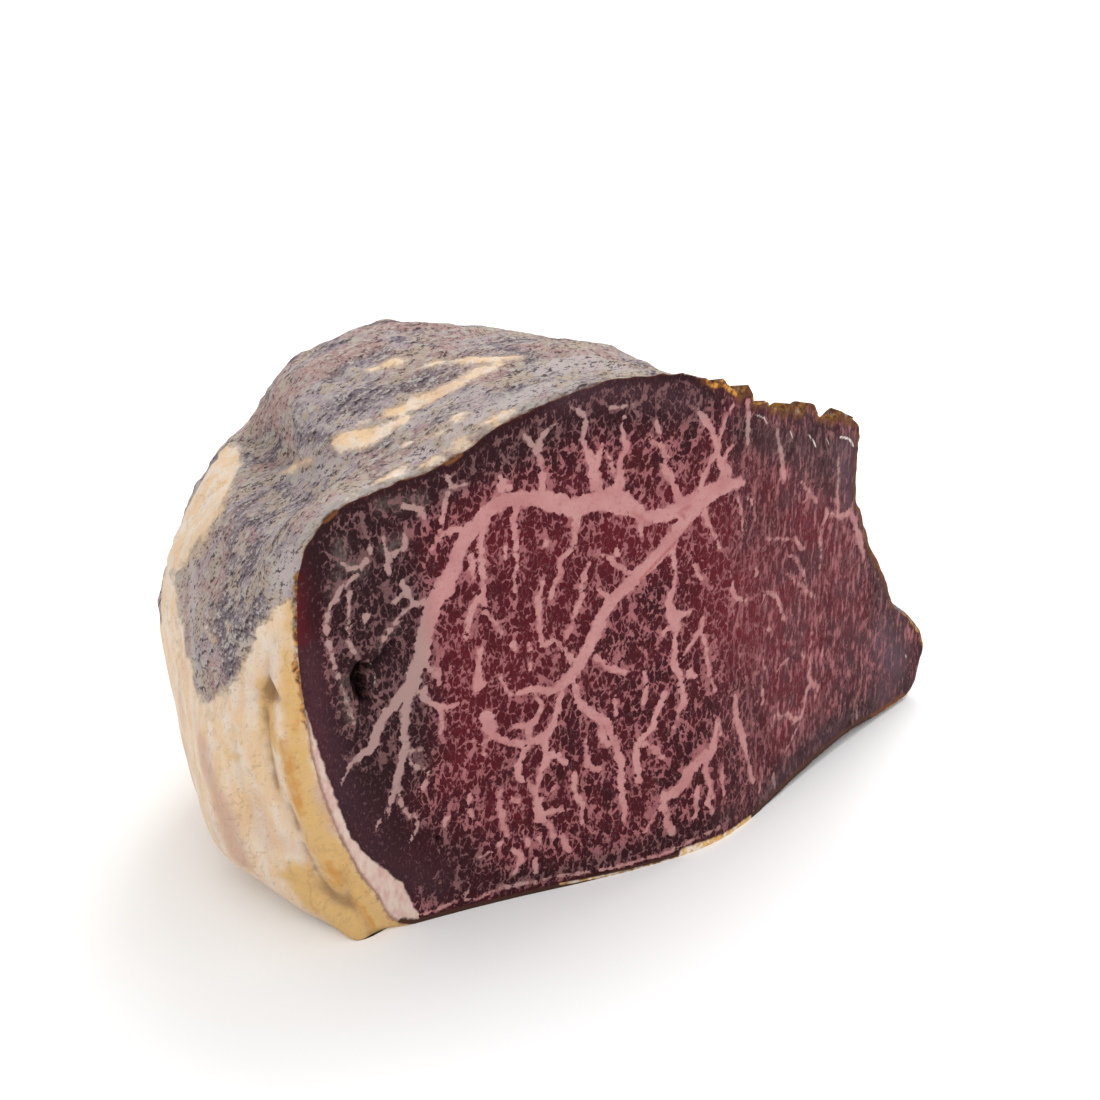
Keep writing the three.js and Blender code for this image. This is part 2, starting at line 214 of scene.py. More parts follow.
LEFT_VEINS = [
    [(404, 534, 0.5), (404, 547, 0.8), (395, 553, 0.4), (388, 563, 0.8), (390, 576, 0.4)],
    [(383, 535, 0.2), (385, 547, 0.3), (387, 559, 0.5)],
    [(368, 540, 0.2), (370, 553, 0.4), (362, 566, 0.8), (350, 568, 0.6), (340, 562, 0.3)],
    [(362, 568, 0.6), (353, 578, 0.5), (340, 590, 0.6), (333, 603, 0.6), (327, 622, 0.5), (328, 639, 0.4),
     (332, 656, 0.4), (337, 675, 0.4), (345, 694, 0.4), (350, 712, 0.6), (354, 723, 0.5)],
    [(347, 593, 0.7), (349, 608, 0.5), (348, 629, 0.5), (351, 647, 0.4), (356, 652, 0.4)],
    [(422, 603, 1.2), (414, 603, 0.9), (406, 590, 0.8), (402, 581, 0.3)],
    [(414, 603, 0.7), (404, 612, 0.5), (395, 624, 0.5), (387, 635, 0.7), (383, 640, 0.6)],
    [(406, 591, 0.8), (395, 603, 0.6)],
    [(366, 614, 0.8), (366, 621, 0.9)],
    [(448, 494, 0.6), (443, 513, 0.6), (441, 526, 0.3), (433, 549, 0.3)],
    [(448, 476, 0.5), (451, 486, 0.6), (458, 486, 0.5), (467, 484, 0.3)],
    [(431, 551, 0.3), (437, 540, 0.4), (446, 532, 0.7), (458, 530, 0.8), (464, 534, 0.8)],
    [(404, 505, 0.9), (421, 511, 0.8), (425, 520, 0.4)],
    [(500, 478, 0.6), (508, 488, 1.1)],
    [(433, 670, 0.8), (439, 683, 0.5)],
    [(398, 784, 0.6), (401, 803, 0.5), (409, 816, 0.5)],
    [(392, 801, 0.6), (380, 818, 0.4), (376, 832, 0.3)],
    [(406, 751, 0.5), (419, 749, 0.4), (426, 751, 0.3)],
    [(407, 755, 0.4), (415, 767, 0.4), (424, 769, 0.3)],
    [(415, 816, 0.5), (417, 828, 0.4), (411, 841, 0.3)],
    [(424, 690, 1.2), (426, 700, 0.7), (438, 705, 0.6), (451, 707, 0.7), (459, 702, 0.3)],
    [(438, 705, 0.6), (442, 721, 0.5), (440, 732, 0.3)],
    [(426, 665, 0.5), (438, 675, 0.9), (438, 684, 0.5)],
    [(481, 650, 0.9), (479, 662, 0.8), (478, 676, 1.2), (479, 685, 1.8)],
]
CENTRE_VEINS = [
    [(484, 713, 1.4), (487, 725, 1.4), (491, 734, 1.1), (503, 740, 0.9), (516, 744, 1.0), (530, 742, 1.0),
     (543, 738, 1.4), (551, 727, 1.1), (558, 711, 1.0), (561, 694, 1.0)],
    [(491, 734, 0.7), (484, 744, 0.6), (472, 740, 0.3)],
    [(484, 744, 0.5), (484, 759, 0.3)],
    [(528, 744, 0.9), (522, 757, 0.8), (518, 769, 1.0), (522, 780, 0.7), (533, 788, 0.9), (537, 801, 0.9),
     (539, 817, 1.5)],
    [(543, 740, 1.2), (547, 755, 1.1), (543, 769, 0.8), (539, 782, 0.8), (535, 788, 0.7)],
    [(547, 753, 1.0), (556, 755, 0.8), (566, 763, 0.4)],
    [(537, 801, 0.6), (549, 792, 0.5), (553, 787, 0.3)],
    [(539, 817, 1.0), (551, 811, 0.7), (568, 809, 0.4)],
    [(543, 818, 0.7), (551, 828, 0.7), (553, 843, 0.6)],
    [(510, 694, 0.5), (505, 686, 0.4), (499, 675, 0.3)],
    [(526, 727, 0.8), (535, 721, 0.9), (541, 707, 0.6), (537, 696, 0.6)],
    [(512, 726, 0.6), (526, 727, 0.8), (530, 740, 0.9)],
    [(499, 792, 0.6), (500, 811, 0.9), (503, 826, 0.5), (507, 836, 0.7)],
    [(510, 797, 0.6), (518, 801, 0.7)],
    [(470, 795, 0.6), (468, 807, 0.4)],
    [(470, 812, 0.8), (472, 815, 0.6)],
    [(514, 849, 0.7), (520, 857, 1.1), (518, 866, 0.8), (514, 873, 0.3)],
    [(527, 841, 0.7), (528, 845, 0.6)],
    [(539, 838, 0.7), (540, 841, 0.6)],
    [(480, 857, 0.3), (491, 851, 0.4), (503, 841, 0.5)],
    [(535, 860, 0.6), (536, 872, 0.6)],
    [(467, 893, 0.8), (468, 888, 0.4)],
    [(562, 834, 0.7), (566, 845, 0.9), (570, 853, 0.5)],
    [(575, 772, 0.6), (575, 792, 0.8), (581, 803, 0.7), (582, 822, 0.5)],
    [(585, 740, 0.5), (586, 757, 0.8), (590, 766, 0.9), (599, 769, 0.9)],
    [(447, 818, 0.6), (445, 826, 0.3)],
    [(424, 788, 0.6), (430, 772, 0.6)],
    [(487, 715, 1.3), (494, 727, 1.2)],
    [(575, 686, 0.9), (579, 701, 1.2), (588, 711, 1.3), (600, 718, 1.2), (609, 724, 1.2), (611, 734, 1.0),
     (615, 743, 1.1), (617, 753, 1.0), (621, 766, 1.0), (621, 783, 1.0), (623, 803, 0.9), (624, 818, 0.6)],
    [(600, 722, 0.8), (602, 734, 0.9), (609, 745, 0.8)],
    [(596, 657, 0.8), (605, 665, 0.9), (615, 669, 0.9), (628, 672, 0.6)],
    [(615, 697, 0.5), (616, 714, 0.5)],
    [(550, 755, 1.0), (560, 758, 0.7), (565, 764, 0.4)],
]
RIGHT_VEINS = [
    [(674, 541, 0.8), (673, 557, 0.6), (676, 572, 0.5), (674, 585, 0.6), (669, 601, 1.2), (672, 615, 1.8),
     (676, 625, 1.3), (675, 638, 0.6), (675, 653, 0.8), (673, 663, 1.1), (679, 674, 0.9), (681, 684, 1.0),
     (683, 695, 1.0), (684, 703, 1.2)],
    [(676, 615, 1.0), (688, 613, 0.7), (693, 609, 0.4)],
    [(674, 626, 0.8), (665, 630, 0.6), (663, 636, 0.3)],
    [(703, 619, 0.5), (700, 630, 0.9), (692, 642, 0.6), (682, 657, 0.3)],
    [(700, 630, 0.7), (705, 646, 0.6), (707, 661, 0.5), (709, 674, 0.8)],
    [(682, 703, 0.7), (678, 714, 0.4), (674, 728, 0.3)],
    [(690, 674, 0.9), (695, 676, 0.7)],
    [(712, 680, 0.5), (715, 690, 1.0)],
    [(644, 672, 0.5), (646, 688, 0.7), (644, 703, 0.8)],
    [(665, 693, 0.9), (661, 705, 0.9), (655, 714, 0.8), (653, 726, 0.9), (646, 734, 0.8), (638, 741, 0.8),
     (636, 753, 1.1), (637, 766, 0.9), (638, 780, 0.9)],
    [(644, 743, 0.6), (657, 751, 0.6), (663, 758, 0.4)],
    [(704, 511, 0.9), (708, 522, 0.7), (714, 534, 0.5), (720, 547, 0.4)],
    [(737, 495, 0.3), (741, 513, 0.4), (742, 530, 0.5)],
    [(748, 498, 0.6), (752, 504, 0.6)],
    [(695, 564, 0.4), (697, 572, 0.4), (704, 583, 0.5)],
    [(705, 760, 1.0), (707, 774, 0.9), (710, 787, 0.8), (713, 796, 0.5)],
    [(707, 801, 0.9), (712, 811, 0.8)],
    [(663, 797, 1.2), (665, 808, 1.0), (667, 822, 1.0), (672, 833, 1.2)],
    [(661, 806, 0.5), (650, 822, 0.4), (644, 833, 0.4)],
    [(697, 789, 0.8), (696, 804, 0.8), (695, 816, 0.6)],
    [(718, 720, 0.9), (720, 733, 0.7)],
    [(721, 770, 0.7), (722, 783, 0.7), (724, 795, 0.4)],
    [(755, 569, 0.4), (756, 574, 0.7)],
    [(732, 583, 0.7), (734, 595, 0.7), (746, 601, 0.4)],
]
FAR_RIGHT_VEINS = [
    [(801, 482, 0.5), (809, 492, 0.6), (818, 503, 0.4)],
    [(803, 503, 0.5), (809, 497, 0.5)],
    [(838, 459, 0.5), (838, 484, 0.6), (838, 513, 0.7)],
    [(826, 509, 0.9), (830, 513, 0.9), (839, 516, 1.0), (851, 513, 1.2)],
    [(828, 513, 1.0), (822, 526, 0.9), (820, 538, 1.0), (821, 553, 0.7), (820, 568, 0.5)],
    [(851, 514, 1.3), (857, 530, 1.6), (860, 543, 1.7), (864, 557, 0.8)],
    [(767, 539, 0.4), (782, 539, 0.3), (795, 540, 0.7), (803, 549, 0.8)],
    [(787, 573, 0.3), (799, 584, 0.5), (808, 592, 0.9), (814, 596, 0.8)],
    [(806, 588, 0.6), (803, 572, 0.5), (795, 558, 0.5), (788, 555, 0.3)],
    [(760, 607, 0.3), (766, 593, 0.5), (776, 596, 0.8), (780, 606, 0.6), (784, 619, 0.7)],
    [(768, 628, 0.7), (770, 630, 0.7)],
    [(812, 632, 0.6), (811, 640, 0.6), (810, 658, 0.5), (809, 674, 0.9), (810, 684, 1.2), (807, 690, 1.1),
     (804, 702, 0.8), (802, 716, 0.7), (796, 730, 0.5), (785, 752, 0.3)],
    [(810, 680, 0.9), (817, 687, 1.0), (814, 702, 0.6)],
    [(771, 728, 0.3), (776, 714, 0.5), (780, 717, 0.6), (788, 714, 0.9), (794, 720, 1.0), (802, 716, 0.8)],
    [(763, 691, 0.7), (762, 704, 0.7)],
    [(763, 660, 0.4), (764, 668, 0.5)],
    [(804, 643, 0.6), (804, 657, 0.6)],
    [(823, 646, 0.5), (822, 656, 0.5)],
    [(787, 659, 0.6), (779, 667, 0.5), (776, 674, 0.3)],
    [(848, 678, 0.3), (844, 687, 0.3)],
    [(856, 708, 0.8), (857, 719, 0.7)],
    [(773, 775, 0.7), (775, 789, 0.6)],
    [(761, 777, 0.6), (759, 792, 0.5)],
    [(750, 771, 0.8), (753, 781, 0.8)],
]
LOW_FAT_LINE = [
    [(418, 915, 0.1), (436, 910, 0.3), (455, 901, 0.15), (480, 897, 0.3), (500, 888, 0.2), (530, 883, 0.3),
     (560, 875, 0.15), (600, 870, 0.3), (640, 860, 0.2), (670, 851, 0.35), (700, 836, 0.45),
     (722, 826, 0.3)],
]
TRACED_VEINS = (LOW_FAT_LINE + MAIN_SEAMS + UPPER_SPURS + LOWER_SPURS + LEFT_VEINS + CENTRE_VEINS
                + RIGHT_VEINS + FAR_RIGHT_VEINS)
# Steps along a line laid on the cut, along a zone's line and along one laid on the flank
VEIN_STEP = 0.9
ZONE_STEP = 3
FLANK_STEP = 2
FAT_STREAK_REACH = 4
FAT_FIELD_REACH = 12
# A traced half width is laid at this share of its size plus an even amount in millimetres, so that thin
# veins come out wider than traced: their rough edges wear them away
VEIN_GAIN = 0.9
THIN_VEIN = 0.17
VEIN_FIELD_REACH = 2.5

# Twigs of fat grown from the traced veins to fill the lean between them
TWIG_SEED = 7
TWIG_SPACING = 2.1
TWIG_UPRIGHT = 0.62
GRAIN_DEPTH = 0.1
TWIG_STEP = 0.7
TWIG_KILL = 1.35
TWIG_REACH = 7
TWIG_ROUNDS = 70
# How far a step turns aside by chance, in the plane of the cut and along its depth
TWIG_JITTER = 0.25
TWIG_JITTER_SHARES = (1, 0.1, 1)
TWIG_HALF_WIDTH = {"tip": 0.22, "growth": 0.07, "most": 0.5, "unevenness": 0.45, "size": 3.5}
TWIG_FIELD_REACH = 1.2
# Targets keep clear of the rim, and this share of them is left out where the lean is bare
TWIG_CLEARANCE = 1.5
BARE_SHARE = 0.97

# Soft zones of the cut: pixels, half width and softness in millimetres, strength
BARE_ZONES = [
    ([(306, 560), (304, 640), (316, 720), (330, 775)], 4.5, 2.5, 1.0),
    ([(335, 790), (365, 845), (400, 885)], 6, 6, 0.9),
    ([(410, 870), (440, 893), (480, 893)], 4, 5, 0.7),
    ([(350, 780), (390, 830), (430, 870)], 8, 8, 0.72),
    ([(703, 392), (722, 398)], 1.5, 2.0, 0.8),
    ([(897, 640), (900, 690)], 6, 5, 0.8),
]
DRY_ZONES = [
    ([(350, 545), (370, 600), (378, 680), (383, 760)], 15, 8, 1.0),
    ([(360, 525), (450, 470), (520, 435)], 9, 6, 0.85),
    ([(860, 470), (875, 560), (893, 630), (900, 690)], 5, 7, 0.7),
    ([(770, 795), (820, 745), (880, 705)], 7, 6, 0.95),
    ([(400, 890), (520, 880), (640, 850), (730, 815)], 4, 5, 0.75),
    ([(360, 790), (400, 850), (450, 870)], 13, 8, 0.75),
    ([(530, 420), (600, 395), (690, 390)], 12, 8, 0.8),
    ([(810, 440), (845, 470)], 8, 8, 0.7),
    ([(745, 430), (790, 445), (850, 450)], 5, 6, 0.85),
]
RED_ZONES = [
    ([(455, 640), (470, 700), (470, 760)], 9, 9, 0.65),
    ([(500, 540), (560, 560), (520, 680)], 14, 12, 0.55),
    ([(620, 540), (700, 520), (720, 560)], 10, 8, 0.8),
    ([(740, 600), (790, 640), (800, 700)], 16, 12, 1.0),
    ([(800, 520), (840, 560), (850, 620)], 10, 9, 0.9),
    ([(760, 470), (800, 500)], 7, 8, 0.6),
    ([(300, 560), (299, 600), (300, 640)], 1.8, 2.5, 0.8),
    ([(440, 850), (520, 800)], 7, 6, 0.4),
]

# Places on the flank, in pixels; where a line says so, half width and softness in millimetres
FAT_OUTLINES = [
    [(292, 600), (285, 600), (267, 615), (254, 628), (243, 655), (236, 674), (222, 688), (207, 702),
     (198, 690), (190, 660), (184, 630), (181, 600), (178, 570), (150, 560), (150, 950), (430, 965),
     (430, 880), (345, 800), (300, 650)],
    [(243, 443), (240, 462), (236, 482), (225, 507), (211, 532), (197, 552), (184, 568), (150, 590),
     (150, 470), (205, 440)],
]
FAT_STREAKS = [
    [(340, 442, 3.0), (354, 439, 4.4), (377, 431, 3.6), (397, 421, 2.3), (410, 413, 1.0)],
    [(360, 422, 0.9), (385, 414, 1.9), (405, 405, 2.8), (428, 395, 3.2), (453, 385, 2.8), (471, 375, 2.7),
     (492, 367, 2.7), (520, 358, 1.5)],
    [(415, 370, 0.8), (436, 364, 1.4), (466, 361, 1.9), (492, 359, 2.2), (520, 358, 1.8)],
    [(365, 374, 1.2), (380, 369, 2.4), (400, 362, 2.4), (410, 357, 1.4)],
    [(405, 445, 1.3), (410, 443, 1.2)],
    [(446, 428, 1.2), (460, 418, 2.2), (470, 414, 1.2)],
    [(426, 438, 1.0), (448, 430, 1.4)],
    [(480, 425, 1.3), (500, 418, 2.4), (514, 411, 1.2)],
    [(446, 453, 1.2), (462, 445, 2.0), (470, 441, 1.0)],
    [(420, 470, 1.0), (436, 463, 1.8), (448, 458, 0.9)],
    [(286, 472, 1.2), (298, 467, 2.2), (314, 460, 1.2)],
    [(384, 480, 1.2), (402, 470, 1.8)],
    [(340, 503, 1.0), (362, 492, 1.6)],
    [(372, 485, 1.2), (380, 480, 1.2)],
    [(205, 627, 0.7), (214, 640, 0.9)],
    [(225, 622, 0.5), (232, 640, 0.5)],
]
AMBER_STREAKS = [
    [(288, 738, 1.6), (292, 765, 2.2), (299, 795, 2.3), (306, 809, 1.0)],
    [(330, 860, 1.4), (337, 878, 1.9), (341, 888, 1.0)],
    [(232, 757, 0.8), (233, 758, 0.8)],
    [(222, 482, 0.8), (223, 483, 0.8)],
    [(300, 700, 0.6), (297, 730, 1.0)],
    [(352, 895, 1.0), (372, 925, 1.4)],
]
PINK_STREAKS = [
    [(205, 740, 2.0), (222, 800, 4.0), (240, 860, 4.0)],
    [(205, 830, 2.0), (232, 872, 2.0)],
    [(255, 410, 2.0), (270, 403, 2.0)],
    [(350, 335, 3.0), (400, 324, 3.5), (480, 330, 3.0)],
    [(255, 470, 3.0), (290, 440, 4.0)],
    [(258, 425, 2.5), (290, 392, 4.5), (330, 360, 5.0), (372, 342, 4.0)],
    [(520, 345, 2.5), (600, 358, 2.5)],
]
# Darker mould between the paler patches of the top and the left
SLATE_STREAKS = [
    [(342, 404, 3.0), (380, 392, 4.5), (425, 376, 3.0)],
    [(230, 540, 1.6), (230, 580, 2.4), (222, 612, 2.4)],
    [(256, 552, 1.2), (258, 588, 1.8)],
    [(222, 640, 2.4), (230, 664, 4.0)],
    [(298, 434, 1.6), (330, 440, 1.8)],
    [(398, 338, 1.6), (432, 346, 1.6)],
    [(254, 498, 1.2), (242, 522, 1.2)],
]
# Paler mould between those and the rim
BLOOM_STREAKS = [
    [(192, 560, 2.5), (192, 620, 3.5), (198, 680, 2.5)],
    [(312, 530, 3.0), (335, 507, 3.5), (368, 488, 3.0)],
    [(290, 556, 2.5), (276, 590, 2.5), (270, 612, 1.5)],
    [(276, 472, 2.5), (335, 468, 3.5)],
    [(392, 470, 2.0), (430, 450, 2.5), (470, 425, 3.0), (510, 403, 3.0), (545, 385, 3.5)],
    [(540, 368, 4.0), (600, 362, 4.5), (650, 360, 3.0)],
    [(400, 430, 2.0), (440, 405, 3.0), (480, 388, 2.0)],
]
# Creases of the fat: pixels, how deep and how wide in millimetres
CREASES = [
    ([(268, 690), (262, 730), (268, 770), (282, 800), (300, 830)], 2.0, 2.2),
    ([(232, 730), (240, 780), (255, 830), (272, 862)], 1.2, 2.6),
    ([(210, 740), (216, 790), (232, 840)], 0.8, 2.2),
    ([(300, 845), (318, 880), (345, 905)], 1.9, 2.0),
    ([(270, 640), (267, 668), (272, 700)], 1.5, 1.5),
    ([(205, 712), (240, 704), (262, 694), (285, 700)], 1.2, 1.6),
    ([(196, 694), (222, 698), (240, 684)], 1.0, 1.2),
    ([(250, 640), (244, 665), (236, 682)], 0.8, 1.0),
    ([(345, 870), (352, 900), (372, 935)], 1.5, 1.6),
    ([(284, 880), (310, 888), (332, 905)], 1.0, 2.0),
    ([(243, 440), (256, 436), (272, 440)], 1.2, 2.0),
]
# Cut fat between the lean and the yellow outside, along the low left edge of the cut
LEAN_EDGE = [(288, 600), (295, 651), (303, 702), (323, 763), (339, 809), (351, 837), (367, 855), (402, 883),
             (417, 912)]
# Open crack and pit of the cut: pixels, depth and half width in millimetres
CRACKS = [
    ([(362, 668), (358, 680), (365, 697)], 4.5, 1.9),
    ([(394, 641), (378, 660), (366, 672)], 1.0, 0.9),
    ([(345, 685), (350, 712)], 0.7, 1.0),
    ([(438, 838), (439, 839)], 1.6, 0.8),
]
CRACK_STEP = 1
CRACK_LIP = 0.35
# Cracks are painted near black inside as shade, fully from this depth in millimetres
BLACK_FROM_DEPTH = 1.5

# The rind is drawn out round the joint: its grain is this much denser along each axis
FIBRE_STRETCH = (0.78, 1, 0.78)
# Crumbs of the rind: their noise (size in millimetres, detail, roughness) and the way towards the light
# across one of them, in millimetres
CRUMB = {"noise": (2.4, 5, 0.66), "light": (-0.15, 0.25, 0.35)}
# Relief of the flank: size and height of each layer in millimetres
MOULD_WRINKLES = [(8, 0.6), (3.8, 0.75), (2.2, 0.4)]
FAT_FOLDS = [(13, 1.5), (5.5, 0.4)]
FOLD_STRETCH = (1, 0.9, 0.32)
FAT_RAISE = {"height": 0.5, "from_edge": (-2, 1.5)}
FLANK_PITS = {"size": 5, "depth": 0.9, "range": (0.35, 0.9)}
FLANK_RELIEF_START = (0.3, 7)
UNDERSIDE_FROM = 2.5
CREASE_START = (0.5, 3)
CREASE_REACH = 2.2
# Relief of the cut in the same way, with low ground along its fat
CUT_RELIEF = [(2.2, 0.1), (7, 0.18)]
VEIN_GROOVE = {"depth": 0.12, "edge": (-0.4, 0.4)}
CUT_RELIEF_START = (0.2, 1.5)
# Cut fat lies left of this pixel, and the right of the cut goes over into soft streaks between these x
CUT_FAT_END = 470
NO_CUT_FAT = -5
SOFT_PART = (48, 92)
# How much of the flank faces the photo's camera where its colours come from the photo
SHOWN_FACING = (0.0, 0.22)
# Hidden sides: fat below and left of a ragged edge, dry crust on the right and below
HIDDEN_FAT = {"top": 58, "right": 4, "slope": 0.8, "shift": 31}
HIDDEN_FAT_TOP_BREAKS = [(34, 12), (11, 5), (4.5, 3)]
HIDDEN_FAT_RIGHT_BREAK = (30, 16)
DRY_CRUST = {"right": ((0.1, 0.7), (60, 100)), "below": ((0.2, 0.8), (-5, 30)), "even": 0.75,
             "patch": (14, 0.45)}

# Strips just behind the rim: pixels, half width, softness in millimetres and strength
AMBER_RIM = [
    ([(294, 575), (288, 600), (288, 640), (293, 690), (300, 720)], 1.3, 1.0, 0.9),
    ([(712, 378), (738, 388), (748, 386), (760, 403)], 6.5, 2.0, 1.0),
    ([(765, 404), (790, 412), (815, 414), (853, 424)], 6.0, 2.0, 0.95),
    ([(675, 858), (700, 847), (730, 835), (752, 818)], 1.8, 0.9, 0.8),
    ([(887, 710), (903, 703), (912, 690)], 1.2, 0.9, 0.6),
    ([(905, 612), (918, 630), (922, 645), (920, 665)], 1.7, 1.0, 0.8),
    ([(450, 915), (500, 898), (560, 885)], 0.7, 0.7, 0.5),
]
CRUST_RIM = [
    ([(300, 556), (318, 528), (345, 506), (400, 482), (440, 460), (500, 425), (560, 394), (620, 374),
      (680, 368), (712, 374)], 0.2, 0.6, 0.9),
    ([(326, 522), (336, 512)], 0.9, 0.7, 1.0),
    ([(446, 460), (458, 452)], 0.9, 0.7, 1.0),
    ([(704, 372), (738, 388), (770, 405), (830, 422), (857, 430), (858, 470), (870, 545), (893, 605)],
     2.2, 2.0, 0.62),
    ([(404, 928), (450, 915), (500, 898), (560, 885), (620, 875), (680, 856)], 1.2, 1.0, 0.8),
    ([(760, 812), (820, 755), (870, 728), (905, 700)], 2.0, 1.5, 0.8),
]
PALE_RIM = [
    ([(306, 545), (318, 526), (345, 506), (400, 482), (440, 460), (500, 425), (560, 394)], 3.0, 4.0, 0.65),
    ([(620, 374), (660, 368), (700, 370)], 0.8, 1.6, 0.6),
]
LOW_CRUST_EDGE = [
    ([(404, 932), (450, 915), (500, 898), (560, 885), (620, 875), (680, 856)], 1.3, 0.9, 1.0),
    ([(755, 818), (790, 782), (822, 753), (848, 736), (872, 726)], 1.8, 2.2, 0.9),
    ([(400, 940), (412, 928)], 1.8, 1.0, 1.0),
]
AMBER_EDGE = [
    ([(712, 378), (728, 385), (738, 390)], 1.3, 1.1, 1.0),
    ([(752, 398), (775, 408)], 0.5, 0.9, 0.8),
    ([(792, 412), (800, 414), (824, 420)], 0.4, 0.9, 0.75),
    ([(886, 712), (903, 704)], 0.5, 0.6, 0.8),
    ([(914, 616), (922, 645)], 0.8, 0.9, 0.8),
    ([(872, 550), (880, 570)], 0.7, 0.8, 0.6),
    ([(294, 575), (288, 600), (288, 660)], 0.2, 0.6, 0.6),
]
YELLOW_EDGE = [
    ([(684, 852), (705, 845), (730, 835), (750, 822)], 1.4, 1.0, 1.0),
    ([(560, 884), (600, 877), (640, 868), (684, 855)], 0.5, 0.6, 0.75),
]
GLINTS = [
    ([(371, 664), (375, 676), (374, 686)], 0.3, 0.6, 0.6),
    ([(344, 690), (349, 706)], 0.4, 0.5, 0.6),
    ([(684, 371), (698, 374), (712, 381)], 0.3, 0.5, 0.8),
    ([(756, 415), (764, 418), (768, 424)], 0.3, 0.5, 0.8),
    ([(790, 431), (793, 438)], 0.25, 0.45, 0.75),
    ([(808, 434), (814, 442), (816, 447)], 0.3, 0.5, 0.8),
    ([(827, 438), (829, 445)], 0.25, 0.45, 0.7),
    ([(840, 437), (849, 439), (853, 446)], 0.4, 0.5, 0.85),
    ([(905, 655), (907, 657)], 0.4, 0.5, 0.7),
]
RED_STREAKS = [
    ([(692, 522), (676, 541), (660, 558), (640, 580)], 0.25, 0.45, 0.9),
    ([(685, 518), (679, 512), (690, 506)], 0.3, 0.7, 0.6),
    ([(632, 512), (650, 524)], 0.4, 0.6, 0.4),
]
# Greyish mauve of the lean; in the first zone, at the right tip, it is a painted bluish reflection
MAUVE_AND_REFLECTION_ZONES = [
    ([(880, 640), (895, 665), (885, 695)], 6, 8, 0.9),
    ([(840, 725), (800, 760), (770, 790)], 2, 5, 0.4),
    ([(560, 400), (620, 392), (690, 400)], 2, 6, 0.4),
    ([(843, 450), (850, 500)], 4, 6, 0.8),
    ([(308, 660), (320, 730), (345, 800)], 4, 5, 0.3),
    ([(350, 810), (380, 860), (430, 885)], 6, 7, 0.22),
]
# Painted sheen: pale grey patches where the lean catches the light
PALE_SHEEN_ZONES = [
    ([(340, 545), (343, 560), (360, 570)], 0.8, 3.0, 0.8),
    ([(385, 548), (400, 540), (408, 534)], 0.6, 2.6, 0.6),
    ([(338, 575), (333, 600)], 0.4, 2.6, 0.5),
    ([(395, 625), (380, 645)], 0.6, 2.4, 0.45),
    ([(344, 680), (347, 705), (352, 722)], 0.5, 1.8, 0.7),
    ([(380, 505), (420, 500)], 0.8, 3.0, 0.5),
]
# Crease between the cut fat and the roll of yellow fat outside it, painted with shade, and the shape of
# that roll
CREASE_RIM = [([(296, 690), (313, 773), (344, 855), (380, 906), (404, 932)], 0.5, 1.4, 0.9)]
FAT_ROLL = {"out": 5.5, "half_width": 3.5, "height": 1.8}
BUTTER_STREAKS = [
    [(290, 600, 1.5), (289, 660, 2.0), (296, 720, 3.0), (303, 780, 4.0), (320, 830, 4.5), (345, 880, 5.0),
     (375, 925, 6.0)],
    [(300, 880, 5.0), (340, 920, 6.0), (400, 935, 5.0)],
    [(262, 690, 2.5), (272, 740, 3.0)],
    [(232, 756, 1.0), (234, 757, 1.0)],
]

# Measures of the vertices by name, from these tables; soft lines also give their softness
CUT_ZONES = {"bare": BARE_ZONES, "dry": DRY_ZONES, "red": RED_ZONES, "mauve_and_reflection": MAUVE_AND_REFLECTION_ZONES, "pale_sheen": PALE_SHEEN_ZONES,
             "yellow_edge": YELLOW_EDGE, "glint": GLINTS, "streak": RED_STREAKS}
CUT_RIM_ZONES = {"crust_edge": CRUST_RIM, "low_crust": LOW_CRUST_EDGE, "amber_edge": AMBER_EDGE}
FLANK_RIM_ZONES = {"amber_rim": AMBER_RIM, "crust_rim": CRUST_RIM, "pale_rim": PALE_RIM,
                   "crease_rim_shade": CREASE_RIM}
FLANK_LINES = {"amber": (AMBER_STREAKS, 2.2), "butter": (BUTTER_STREAKS, 4), "pink": (PINK_STREAKS, 4),
               "slate": (SLATE_STREAKS, 3), "bloom": (BLOOM_STREAKS, 4)}

# Colours, linear
LEAN = {"pale_sheen": (0.260, 0.215, 0.185), "dark": (0.042, 0.0075, 0.0105), "mid": (0.072, 0.0100, 0.0145),
        "red": (0.130, 0.0115, 0.0185), "dry": (0.0235, 0.0085, 0.0105), "mauve_and_reflection": (0.115, 0.062, 0.082),
        "dull": (0.066, 0.024, 0.030), "hollow": (0.002, 0.001, 0.001)}
MARBLE = {"pink": (0.400, 0.155, 0.160), "pale": (0.500, 0.250, 0.240), "thin": (0.330, 0.122, 0.130),
          "dry": (0.350, 0.228, 0.208), "dim": (0.150, 0.078, 0.080), "edge": (0.640, 0.500, 0.420),
          "streak": (0.28, 0.040, 0.040)}
RIM_CRUST = (0.17, 0.062, 0.022)
LOW_CRUST = (0.060, 0.028, 0.020)
# Painted shade in the crease between the cut fat and the roll of yellow fat
CREASE_SHADE = (0.25, 0.125, 0.09)
MOULD = {"lilac": (0.66, 0.525, 0.560), "slate": (0.290, 0.222, 0.255), "beige": (0.78, 0.615, 0.490),
         "pale": (0.82, 0.74, 0.67), "rose": (0.74, 0.460, 0.410), "bloom": (0.93, 0.790, 0.780),
         "dark": (0.050, 0.034, 0.034), "crust": (0.120, 0.068, 0.045)}
# The fat's two darkest colours are painted shade, for its shaded crumbs, wrinkles and creases
YELLOW = {"cream": (0.800, 0.560, 0.335), "butter": (0.710, 0.435, 0.150), "amber": (0.610, 0.275, 0.055),
          "pink": (0.600, 0.365, 0.265), "pale": (0.800, 0.670, 0.545), "shade": (0.36, 0.205, 0.12),
          "fold_shade": (0.20, 0.095, 0.045)}

